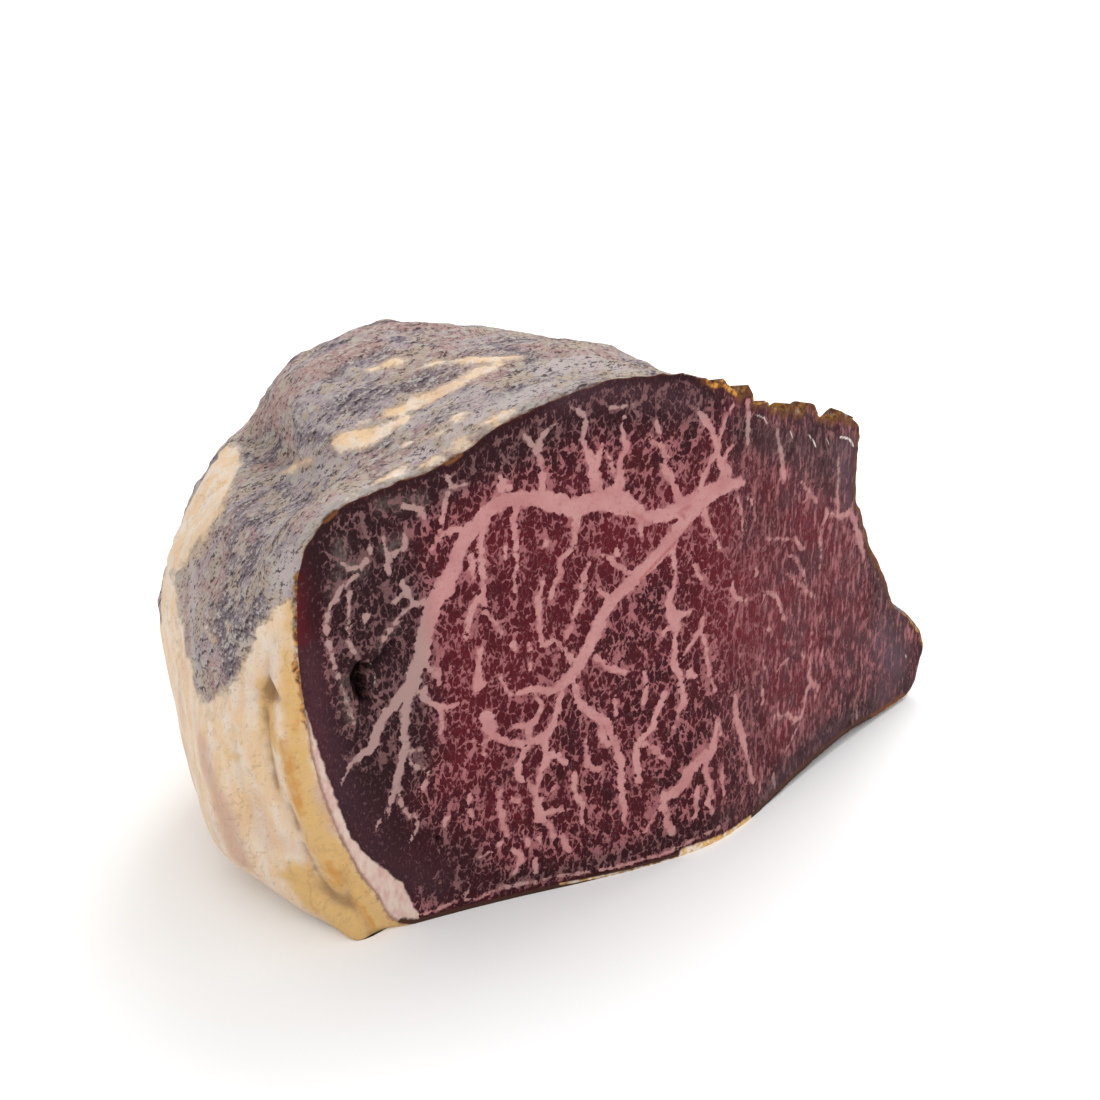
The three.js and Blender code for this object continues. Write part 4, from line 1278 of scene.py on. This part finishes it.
def cut_patterns(joint, placer):
    """Named measures of every vertex of the cut."""
    places = joint.points[:joint.cut_count]
    pixels = to_pixels(places)
    patterns = {name: soft_zones(places, placer, zones) for name, zones in CUT_ZONES.items()}
    for name, zones in CUT_RIM_ZONES.items():
        patterns[name] = soft_zones(places, placer, zones, on_rim=True)
    traced = [placer.thick_line([(x, y, VEIN_GAIN * half + THIN_VEIN) for x, y, half in line])
              for line in TRACED_VEINS]
    seeds = np.vstack([line[:, :3] for line in traced])
    twigs = twig_lines(*grow_twigs(seeds, scatter_targets(joint, patterns["bare"])))
    low_left = pixels[:, 0] < CUT_FAT_END
    lean_side = side_of_line(pixels, LEAN_EDGE) / PIXELS_PER_MM
    return patterns | {
        "vein": smaller_union(places, traced, VEIN_FIELD_REACH),
        "twig": smaller_union(places, twigs, TWIG_FIELD_REACH),
        "edge": joint.cut_edge,
        "cut_fat": np.where(low_left, lean_side, NO_CUT_FAT),
        "soft": ramp(*SOFT_PART, places[:, 0]),
    }


def hidden_fat(points):
    """Signed distance to the fat where the photo doesn't show the flank."""
    x, _, z = points.T
    size, height = HIDDEN_FAT_RIGHT_BREAK
    above = z - HIDDEN_FAT["top"] - layered_noise(points, HIDDEN_FAT_TOP_BREAKS)
    beyond = x - HIDDEN_FAT["right"] - height * noise(points + HIDDEN_FAT["shift"], size)
    return np.maximum(above, beyond) * HIDDEN_FAT["slope"]


def shown_fat(points):
    """Signed distance to the fat as the photo outlines it."""
    pixels = to_pixels(points)
    return np.min([outline_distance(pixels, outline) for outline in FAT_OUTLINES], axis=0) / PIXELS_PER_MM


def flank_patterns(joint, placer, normals):
    """Named measures of every vertex of the flank."""
    places = joint.points
    to_eye = camera_place() - places
    facing = (normals * to_eye).sum(1) / np.linalg.norm(to_eye, axis=1)
    fat = lerp(hidden_fat(places), shown_fat(places), ramp(*SHOWN_FACING, facing))
    streaks = [placer.thick_line(line, FLANK_STEP) for line in FAT_STREAKS]
    fat = np.minimum(fat, smaller_union(places, streaks, FAT_STREAK_REACH))
    patterns = {name: soft_lines(places, placer, *lines) for name, lines in FLANK_LINES.items()}
    for name, zones in FLANK_RIM_ZONES.items():
        patterns[name] = soft_zones(places, placer, zones, on_rim=True)
    patterns["fat"] = np.clip(fat, -FAT_FIELD_REACH, FAT_FIELD_REACH)
    patterns["crust"] = dry_crust(places, normals)
    return patterns


def soft_lines(points, placer, lines, softness):
    field = smaller_union(points, [placer.thick_line(line, FLANK_STEP) for line in lines], softness)
    return 1 - ramp(-softness, softness, field)


def dry_crust(points, normals):
    """Dark dry crust of the right side and of most of the underside."""
    shares = []
    for side, turned in (("right", normals[:, 0]), ("below", -normals[:, 2])):
        facing, place = DRY_CRUST[side]
        shares.append(ramp(*facing, turned) * ramp(*place, points[:, 0]))
    size, height = DRY_CRUST["patch"]
    patchy = DRY_CRUST["even"] + height * noise(points, size)
    return np.clip(np.maximum(*shares) * patchy, 0, 1)


# Relief of the flank along its normals, and of the cut along its depth
def crease_depths(joint, placer):
    """How deep the creases cut at every vertex, in millimetres."""
    depth = np.zeros(len(joint.points))
    for line, deep, wide in CREASES:
        track = placer.thick_line([(x, y, 0) for x, y in line], FLANK_STEP)
        away = smaller_union(joint.points, [track], wide * CREASE_REACH)
        depth += deep * np.exp(-(away / wide) ** 2) * ramp(*CREASE_START, joint.depth)
    return depth


def fat_roll(joint, placer):
    """Height of the roll of fat along the low left of the rim."""
    pixels, half, _, _ = CREASE_RIM[0]
    out, half_width = FAT_ROLL["out"], FAT_ROLL["half_width"]
    away = smaller_union(joint.points, [placer.rim_line(pixels, half)], 3 * out)
    return FAT_ROLL["height"] * np.exp(-((away - out) / half_width) ** 2)


def flank_relief(joint, fat, creases):
    places = joint.points
    fat_share = 1 - ramp(*FAT_RAISE["from_edge"], fat)
    wrinkles = layered_noise(places * FIBRE_STRETCH, MOULD_WRINKLES)
    folds = layered_noise(places * FOLD_STRETCH, FAT_FOLDS)
    pits = FLANK_PITS["depth"] * ramp(*FLANK_PITS["range"], noise(places, FLANK_PITS["size"]))
    height = lerp(wrinkles - pits, folds, fat_share) + FAT_RAISE["height"] * fat_share
    height *= ramp(*FLANK_RELIEF_START, joint.depth)
    return (height - creases) * ramp(0, UNDERSIDE_FROM, places[:, 2])


def cut_relief(joint, placer, patterns):
    """How far the cut lies inward, and how strongly a crack is painted near black inside as shade."""
    places = joint.points[:joint.cut_count]
    inward = layered_noise(places, CUT_RELIEF)
    inward -= VEIN_GROOVE["depth"] * (1 - ramp(*VEIN_GROOVE["edge"], patterns["vein"]))
    hollow = np.zeros(len(places))
    for pixels, deep, half in CRACKS:
        track = placer.thick_line([(x, y, half) for x, y in pixels], CRACK_STEP)
        share = 1 - ramp(-half, half * CRACK_LIP, smaller_union(places, [track], half))
        inward += deep * share
        hollow = np.maximum(hollow, share * min(1, deep / BLACK_FROM_DEPTH))
    return inward * ramp(*CUT_RELIEF_START, joint.cut_edge), hollow


class Beef:
    """The joint with its relief and every pattern its materials read."""

    def __init__(self):
        self.joint = Joint()
        joint = self.joint
        self.middle_x = (joint.points[:, 0].min() + joint.points[:, 0].max()) / 2
        placer = Placer(joint)
        normals = joint.normals()
        cut = cut_patterns(joint, placer)
        flank = flank_patterns(joint, placer, normals)
        inward, hollow = cut_relief(joint, placer, cut)
        flank["crease"] = crease_depths(joint, placer)
        height = flank_relief(joint, flank["fat"], flank["crease"] - fat_roll(joint, placer))
        cut["hollow"] = hollow
        self.patterns = {name: self.on_cut(values) for name, values in cut.items()} | flank
        self.points = joint.points.copy()
        self.points[FINE_COLUMNS:joint.cut_count, 1] += inward[FINE_COLUMNS:]
        outward = normals * height[:, None]
        self.points[joint.cut_count:] += outward[joint.cut_count:]
        self.points[:, 2] = np.maximum(self.points[:, 2], 0)

    def on_cut(self, values):
        spread = np.zeros(len(self.joint.points))
        spread[:self.joint.cut_count] = values
        return spread

    def grain(self):
        x, y, z = self.joint.points.T
        past = np.maximum(0, x - RIDGE_X) / math.cos(math.radians(TURN_DEGREES))
        return np.stack([np.minimum(x, RIDGE_X) + past, y * GRAIN_DEPTH, z * TWIG_UPRIGHT], 1)


def placing(beef):
    """From the joint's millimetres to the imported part's frame, in millimetres."""
    low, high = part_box(NODE)
    middle = (low[0] + high[0]) / 2 / METRE
    return np.array([middle - beef.middle_x, high[1] / METRE - BACK_DEPTH, 0])


def make_mesh(beef, shift):
    joint = beef.joint
    mesh = bpy.data.meshes.new("beef_surface")
    corners = joint.corners
    mesh.vertices.add(len(beef.points))
    mesh.vertices.foreach_set("co", ((beef.points + shift) * METRE).ravel())
    mesh.loops.add(corners.size)
    mesh.loops.foreach_set("vertex_index", corners.ravel())
    mesh.polygons.add(len(corners))
    mesh.polygons.foreach_set("loop_start", np.arange(len(corners)) * 3)
    mesh.update(calc_edges=True)
    on_flank = np.arange(len(corners)) >= joint.cut_triangles
    mesh.polygons.foreach_set("material_index", on_flank.astype(np.int32))
    mesh.polygons.foreach_set("use_smooth", np.ones(len(corners), bool))
    layer = mesh.uv_layers.new(name="OFBake")
    layer.uv.foreach_set("vector", joint.uvs.ravel())
    for name, values in beef.patterns.items():
        attribute = mesh.attributes.new(name, "FLOAT", "POINT")
        attribute.data.foreach_set("value", np.ascontiguousarray(values, np.float32))
    grain = mesh.attributes.new("grain", "FLOAT_VECTOR", "POINT")
    grain.data.foreach_set("vector", np.ascontiguousarray(beef.grain(), np.float32).ravel())
    mark_rim(mesh)
    mesh.validate()
    return mesh


def mark_rim(mesh):
    ends = np.zeros(len(mesh.edges) * 2, int)
    mesh.edges.foreach_get("vertices", ends)
    low, high = np.sort(ends.reshape(-1, 2), axis=1).T
    step = high - low
    on_rim = (high < FINE_COLUMNS) & ((step == 1) | (step == FINE_COLUMNS - 1))
    sharp = mesh.attributes.new("sharp_edge", "BOOLEAN", "EDGE")
    sharp.data.foreach_set("value", on_rim)


class Surface:
    """One material built with short calls.

    Noise sizes and heights are in millimetres. A ramp names where a value starts and ends to count,
    then the shares it gives there.
    """

    def __init__(self, name):
        self.material = bpy.data.materials.new(name)
        self.material.use_nodes = True
        self.tree = self.material.node_tree
        self.shader = self.tree.nodes["Principled BSDF"]
        coordinates = self.tree.nodes.new("ShaderNodeTexCoord")
        self.place = self.scaled(coordinates.outputs["Object"], 1 / METRE)

    def put(self, socket, value):
        if isinstance(value, bpy.types.NodeSocket):
            self.tree.links.new(value, socket)
        elif socket.type == "RGBA" and len(value) == 3:
            socket.default_value = (*value, 1)
        else:
            socket.default_value = value

    def vector_math(self, operation, a, b):
        node = self.tree.nodes.new("ShaderNodeVectorMath")
        node.operation = operation
        self.put(node.inputs[0], a)
        self.put(node.inputs[1], b)
        return node.outputs[0]

    def scaled(self, vector, factor):
        return self.vector_math("MULTIPLY", vector, (factor,) * 3 if np.isscalar(factor) else factor)

    def moved(self, vector, push):
        return self.vector_math("ADD", vector, push)

    def attribute(self, name, output="Fac"):
        node = self.tree.nodes.new("ShaderNodeAttribute")
        node.attribute_name = name
        return node.outputs[output]

    def math(self, operation, a, b=0.0):
        node = self.tree.nodes.new("ShaderNodeMath")
        node.operation = operation
        self.put(node.inputs[0], a)
        self.put(node.inputs[1], b)
        return node.outputs[0]

    def ramp(self, low, high, value, start=0.0, end=1.0):
        node = self.tree.nodes.new("ShaderNodeMapRange")
        node.interpolation_type = "SMOOTHSTEP"
        for name, number in (("Value", value), ("From Min", low), ("From Max", high), ("To Min", start),
                             ("To Max", end)):
            self.put(node.inputs[name], number)
        return node.outputs["Result"]

    def noise(self, vector, size, detail=2.0, roughness=0.5, output="Fac"):
        node = self.tree.nodes.new("ShaderNodeTexNoise")
        self.put(node.inputs["Vector"], vector)
        self.put(node.inputs["Scale"], 1 / size)
        self.put(node.inputs["Detail"], detail)
        self.put(node.inputs["Roughness"], roughness)
        return node.outputs[output]

    def fray(self, name, vector):
        """A number from about minus the height of this fray to its height."""
        size, height, detail = FRAYS[name]
        centred = self.math("SUBTRACT", self.noise(vector, size, detail), 0.5)
        return self.math("MULTIPLY", centred, 4 * height)

    def fade(self, name, value):
        low, high, start, end = FADES[name]
        return self.ramp(low, high, value, start, end)

    def pattern(self, name, vector):
        size, detail, roughness, (low, high), shares = PATTERNS[name]
        return self.ramp(low, high, self.noise(vector, size, detail, roughness), *shares)

    def warped(self, vector, size, height):
        """The place pushed about by up to about the height along each axis."""
        push = self.vector_math("SUBTRACT", self.noise(vector, size, output="Color"), (0.5, 0.5, 0.5))
        return self.moved(self.scaled(push, 4 * height), vector)

    def cells(self, vector, size, feature):
        """Distance to the nearest or second nearest heart of a cell, as a share of their size."""
        node = self.tree.nodes.new("ShaderNodeTexVoronoi")
        node.feature = feature
        self.put(node.inputs["Vector"], vector)
        self.put(node.inputs["Scale"], 1 / size)
        return node.outputs["Distance"]

    def mix(self, share, start, end):
        node = self.tree.nodes.new("ShaderNodeMix")
        node.data_type = "RGBA"
        self.put(node.inputs["Factor"], share)
        self.put(node.inputs[6], start)
        self.put(node.inputs[7], end)
        return node.outputs[2]

    def blend(self, share, start, end):
        node = self.tree.nodes.new("ShaderNodeMix")
        self.put(node.inputs["Factor"], share)
        self.put(node.inputs[2], start)
        self.put(node.inputs[3], end)
        return node.outputs[0]

    def bump(self, height, depth):
        """Small relief: height from 0 to 1 stands for this many millimetres."""
        node = self.tree.nodes.new("ShaderNodeBump")
        self.put(node.inputs["Strength"], 1.0)
        self.put(node.inputs["Distance"], depth * METRE)
        self.put(node.inputs["Height"], height)
        self.put(self.shader.inputs["Normal"], node.outputs["Normal"])

    def finish(self, colour, roughness, specular):
        self.put(self.shader.inputs["Base Color"], colour)
        self.put(self.shader.inputs["Roughness"], roughness)
        self.put(self.shader.inputs["Specular IOR Level"], specular)
        return self.material


def lean_colour(cut, grain):
    lean = cut.mix(cut.pattern("lean_mottle", cut.place), LEAN["dark"], LEAN["mid"])
    # The greyish mauve tint is partly the lean's own colour and, at the right tip, a painted reflection
    for name in ("red", "dry", "mauve_and_reflection"):
        lean = cut.mix(cut.attribute(name), lean, LEAN[name])
    # Painted sheen: pale grey patches of the lean where it catches the light
    sheen_share = cut.math("MULTIPLY", cut.attribute("pale_sheen"), cut.pattern("lean_sheen", cut.place))
    lean = cut.mix(sheen_share, lean, LEAN["pale_sheen"])
    fibre = cut.pattern("lean_fibre", cut.scaled(grain, LEAN_FIBRE_STRETCH))
    lean = cut.mix(fibre, lean, LEAN["dry"])
    return cut.mix(cut.pattern("lean_flecks", grain), lean, MARBLE["dim"])


def island_gaps(cut, grain, half_width, size, warp):
    """Share of fat in the gaps between rounded islands of lean; sizes are in millimetres."""
    place = grain
    for size_share, warp_share in GAP_WARPS:
        place = cut.warped(place, size * size_share, warp * warp_share)
    apart = cut.math("SUBTRACT", cut.cells(place, size, "F2"), cut.cells(place, size, "F1"))
    gap = cut.math("MULTIPLY", apart, size / 2)
    return cut.fade("gap", cut.math("SUBTRACT", half_width, gap))


def gap_width(cut, width, density, fray):
    """Half width of the gaps: nothing is left of it where the lean is bare."""
    kept = cut.math("MULTIPLY", cut.math("ADD", width, BARE_GAP), density)
    return cut.math("ADD", cut.math("SUBTRACT", kept, BARE_GAP), fray)


def marbling(cut, grain):
    """Shares of plain fat, of gaps between lobes of lean and of finer ones between islands."""
    jag = cut.fray("vein", cut.place)
    vein = cut.math("ADD", cut.attribute("vein"), jag)
    twig = cut.math("ADD", cut.attribute("twig"), jag)
    edge = cut.attribute("edge")
    near = cut.math("MAXIMUM", cut.fade("near_vein", vein), cut.fade("near_twig", twig))
    density = cut.math("MULTIPLY", cut.fade("dense", cut.attribute("bare")), cut.fade("inner", edge))
    fray = cut.fray("gap", grain)
    lobe_width = cut.math("ADD", cut.pattern("lobe_width", grain), near)
    lobes = island_gaps(cut, grain, gap_width(cut, lobe_width, density, fray), **LOBES)
    near_islands = cut.math("MULTIPLY", near, ISLANDS_NEAR_VEIN)
    island_width = cut.math("ADD", cut.pattern("island_width", grain), near_islands)
    islands = island_gaps(cut, grain, gap_width(cut, island_width, density, fray), **ISLANDS)
    plain = cut.math("MULTIPLY", cut.fade("plain", vein), cut.fade("clear_of_rim", edge))
    return plain, lobes, islands, near


def marble_colours(cut, near):
    """Colour of wide fat and of the hairlines between islands."""
    dry = cut.fade("dry_fat", cut.attribute("dry"))
    wide = cut.mix(cut.pattern("seam_pink", cut.place), MARBLE["pale"], MARBLE["pink"])
    wide = cut.mix(cut.pattern("seam_threads", cut.place), wide, MARBLE["thin"])
    wide = cut.mix(cut.attribute("streak"), wide, MARBLE["streak"])
    wide = cut.mix(dry, wide, MARBLE["dry"])
    thin = cut.mix(dry, MARBLE["thin"], MARBLE["dim"])
    return wide, cut.mix(cut.fade("wide", near), thin, wide)


def with_strips(surface, colour, tints, unevenness, fade):
    """Narrow strips laid over a colour, each where its measure says and broken up alike."""
    broken = surface.math("ADD", WHOLE_STRIP, unevenness)
    for name, tint in tints.items():
        strip = surface.math("MULTIPLY", broken, surface.attribute(name))
        colour = surface.mix(surface.fade(fade, strip), colour, tint)
    return colour


def mottled_amber(surface, pattern):
    return surface.mix(surface.pattern(pattern, surface.place), YELLOW["amber"], RIM_CRUST)


def edge_colours(cut, colour):
    band = cut.math("ADD", cut.attribute("cut_fat"), cut.fray("cut_fat", cut.place))
    drawn = cut.scaled(cut.place, BAND_STRETCH)
    band_colour = cut.mix(cut.pattern("band_pale", drawn), MARBLE["edge"], MARBLE["pale"])
    colour = cut.mix(cut.fade("band", band), colour, band_colour)
    rough = cut.fray("cut_rim", cut.place)
    at_rim = cut.fade("band_rim", cut.math("ADD", cut.attribute("edge"), rough))
    # Painted shade in the crease between the cut fat band and the roll of yellow fat
    crease = cut.math("MULTIPLY", cut.fade("band_inside", band), at_rim)
    colour = cut.mix(crease, colour, CREASE_SHADE)
    yellow = cut.mix(cut.pattern("edge_pale", drawn), YELLOW["butter"], YELLOW["pale"])
    yellow = cut.mix(cut.pattern("edge_shade", cut.place), yellow, YELLOW["shade"])
    tints = {"crust_edge": RIM_CRUST, "low_crust": LOW_CRUST, "amber_edge": mottled_amber(cut, "cut_amber"),
             "yellow_edge": yellow, "glint": MOULD["pale"]}
    colour = with_strips(cut, colour, tints, rough, "cut_strip")
    # Painted shade: the inside of the cracks goes near black
    return cut.mix(cut.attribute("hollow"), colour, LEAN["hollow"])


def cut_material():
    cut = Surface("beef_cut")
    grain = cut.attribute("grain", "Vector")
    plain, lobes, islands, near = marbling(cut, grain)
    wide, thin = marble_colours(cut, near)
    soft = cut.attribute("soft")
    colour = lean_colour(cut, grain)
    dull = cut.math("MULTIPLY", cut.pattern("lean_dull", cut.place), soft)
    colour = cut.mix(dull, colour, LEAN["dull"])
    drawn = cut.noise(cut.scaled(grain, DRAWN["stretch"]), *DRAWN["noise"])
    drawn = cut.fade("drawn", cut.math("ADD", drawn, cut.fray("drawn", cut.place)))
    colour = cut.mix(cut.math("MULTIPLY", drawn, soft), colour, thin)
    for name, share, tint in (("islands", islands, thin), ("lobes", lobes, thin), ("plain", plain, wide)):
        colour = cut.mix(cut.math("MULTIPLY", share, cut.blend(soft, *FAT_SHARES[name])), colour, tint)
    colour = edge_colours(cut, colour)
    cut.bump(cut.noise(cut.place, *CUT_GRAIN["noise"]), CUT_GRAIN["depth"])
    return cut.finish(colour, **CUT_GLOSS)


def crumb_light(rind, fibre):
    """How far each crumb of the rind turns to the light, from about -0.2 to 0.2."""
    here, lighter = (rind.noise(place, *CRUMB["noise"])
                     for place in (fibre, rind.moved(fibre, CRUMB["light"])))
    return rind.math("SUBTRACT", here, lighter)


def mould_colour(rind, fibre, light):
    colour = rind.mix(rind.pattern("mould_slate", rind.place), MOULD["lilac"], MOULD["slate"])
    colour = rind.mix(rind.pattern("mould_rose", rind.place), colour, MOULD["rose"])
    ragged = rind.fray("mould", fibre)
    for name, tint in (("pink", "rose"), ("bloom", "bloom"), ("slate", "slate")):
        patch = rind.math("ADD", rind.attribute(name), ragged)
        colour = rind.mix(rind.fade("mould_patch", patch), colour, MOULD[tint])
    crumbs = rind.math("ADD", rind.noise(fibre, *BEIGE_CRUMBS["noise"]), rind.fray("crumbs", rind.place))
    covered = rind.math("MAXIMUM", rind.attribute("slate"), rind.attribute("pink"))
    crumbs = rind.math("SUBTRACT", crumbs, rind.math("MULTIPLY", covered, BEIGE_CRUMBS["covered"]))
    colour = rind.mix(rind.fade("crumbs", crumbs), colour, MOULD["beige"])
    colour = rind.mix(rind.pattern("mould_pale", fibre), colour, MOULD["pale"])
    colour = rind.mix(rind.fade("crumb_lit", light), colour, MOULD["pale"])
    return rind.mix(rind.fade("crumb_shaded", light), colour, MOULD["dark"])


def fat_colour(rind):
    flow = rind.warped(rind.scaled(rind.place, FAT_FLOW["stretch"]), FAT_FLOW["size"], FAT_FLOW["warp"])
    colour = rind.mix(rind.pattern("fat_cream", flow), YELLOW["pale"], YELLOW["cream"])
    colour = rind.mix(rind.pattern("fat_pink", rind.place), colour, YELLOW["pink"])
    for name in ("butter", "pink"):
        patch = rind.math("ADD", rind.attribute(name), rind.fray(name, rind.place))
        colour = rind.mix(rind.fade(name, patch), colour, YELLOW[name])
    # Painted shade in the fine wrinkles of the fat and along its creases, darkest in a crease's core
    fold_shade = rind.noise(rind.scaled(rind.place, FAT_FOLD["stretch"]), *FAT_FOLD["noise"])
    fold_shade = rind.fade("fold_shade", rind.math("ABSOLUTE", rind.math("SUBTRACT", fold_shade, 0.5)))
    wrinkle_shade = rind.math("MULTIPLY", fold_shade, rind.pattern("fat_creased", rind.place))
    colour = rind.mix(wrinkle_shade, colour, YELLOW["shade"])
    crease = rind.math("ADD", rind.attribute("crease"), rind.fray("crease", rind.place))
    colour = rind.mix(rind.fade("crease_shade", crease), colour, YELLOW["shade"])
    colour = rind.mix(rind.fade("crease_core_shade", crease), colour, YELLOW["fold_shade"])
    stain = rind.math("ADD", rind.attribute("amber"), rind.fray("amber", rind.place))
    return rind.mix(rind.fade("amber", stain), colour, YELLOW["amber"])


def rind_material():
    rind = Surface("beef_rind")
    frayed = rind.math("ADD", rind.fray("fat_edge", rind.place), rind.fray("fat_edge_fine", rind.place))
    share = rind.fade("fat", rind.math("ADD", rind.attribute("fat"), frayed))
    fibre = rind.scaled(rind.place, FIBRE_STRETCH)
    light = crumb_light(rind, fibre)
    mould = mould_colour(rind, fibre, light)
    mould = rind.mix(rind.math("MULTIPLY", rind.attribute("crust"), CRUST_SHARE), mould, MOULD["crust"])
    fat = rind.mix(rind.fade("fat_shaded", light), fat_colour(rind), YELLOW["shade"])
    colour = rind.mix(share, mould, fat)
    # The crease strip along the rim is painted shade
    tints = {"pale_rim": MOULD["pale"], "amber_rim": mottled_amber(rind, "rind_amber"),
             "crust_rim": RIM_CRUST, "crease_rim_shade": CREASE_SHADE}
    colour = with_strips(rind, colour, tints, rind.fray("rind_rim", fibre), "rind_strip")
    crumbly = rind.noise(fibre, *RIND_GRAIN["noise"])
    relief = rind.math("MULTIPLY", crumbly, rind.blend(share, 1.0, RIND_GRAIN["on_fat"]))
    rind.bump(relief, RIND_GRAIN["depth"])
    roughness = rind.blend(share, RIND_GLOSS["roughness"], RIND_GLOSS["fat_roughness"])
    return rind.finish(colour, roughness, RIND_GLOSS["specular"])


def add_floor():
    bpy.ops.mesh.primitive_plane_add(size=FLOOR_SIZE, location=(0, 0, 0))
    floor = bpy.context.object
    floor.name = "floor"
    paint = Surface("floor_paint")
    floor.data.materials.append(paint.finish(FLOOR_COLOUR, **FLOOR_GLOSS))


def add_lights():
    world = bpy.data.worlds.new("studio")
    world.use_nodes = True
    background = world.node_tree.nodes["Background"]
    background.inputs["Color"].default_value = (1, 1, 1, 1)
    background.inputs["Strength"].default_value = WORLD_STRENGTH
    bpy.context.scene.world = world
    bpy.context.scene.view_settings.view_transform = "Standard"
    for index, (place, size, power) in enumerate(LIGHTS):
        light = bpy.data.lights.new(f"soft_light_{index}", "AREA")
        light.size = size
        light.energy = power
        lamp = bpy.data.objects.new(light.name, light)
        lamp.location = place
        lamp.rotation_euler = Vector(place).to_track_quat("Z", "Y").to_euler()
        bpy.context.scene.collection.objects.link(lamp)


def add_camera(shift):
    lens = bpy.data.cameras.new("camera")
    lens.sensor_width = SENSOR_WIDTH
    lens.lens = SENSOR_WIDTH / 2 / math.tan(math.radians(CAMERA_FIELD) / 2)
    lens.clip_end = 10
    camera = bpy.data.objects.new("camera", lens)
    camera.matrix_world = Matrix.Translation(Vector((camera_place() + shift) * METRE)) @ Matrix(
        np.column_stack([RIGHT, UP, -FORWARD]).tolist()).to_4x4()
    bpy.context.scene.collection.objects.link(camera)
    bpy.context.scene.camera = camera


def add_beef():
    beef = Beef()
    shift = placing(beef)
    mesh = make_mesh(beef, shift)
    mesh.materials.append(cut_material())
    mesh.materials.append(rind_material())
    piece = bpy.data.objects.new("beef", mesh)
    bpy.context.scene.collection.objects.link(piece)
    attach(piece, "root")
    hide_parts(NODE)
    return shift


place_shift = add_beef()
add_floor()
add_lights()
add_camera(place_shift)
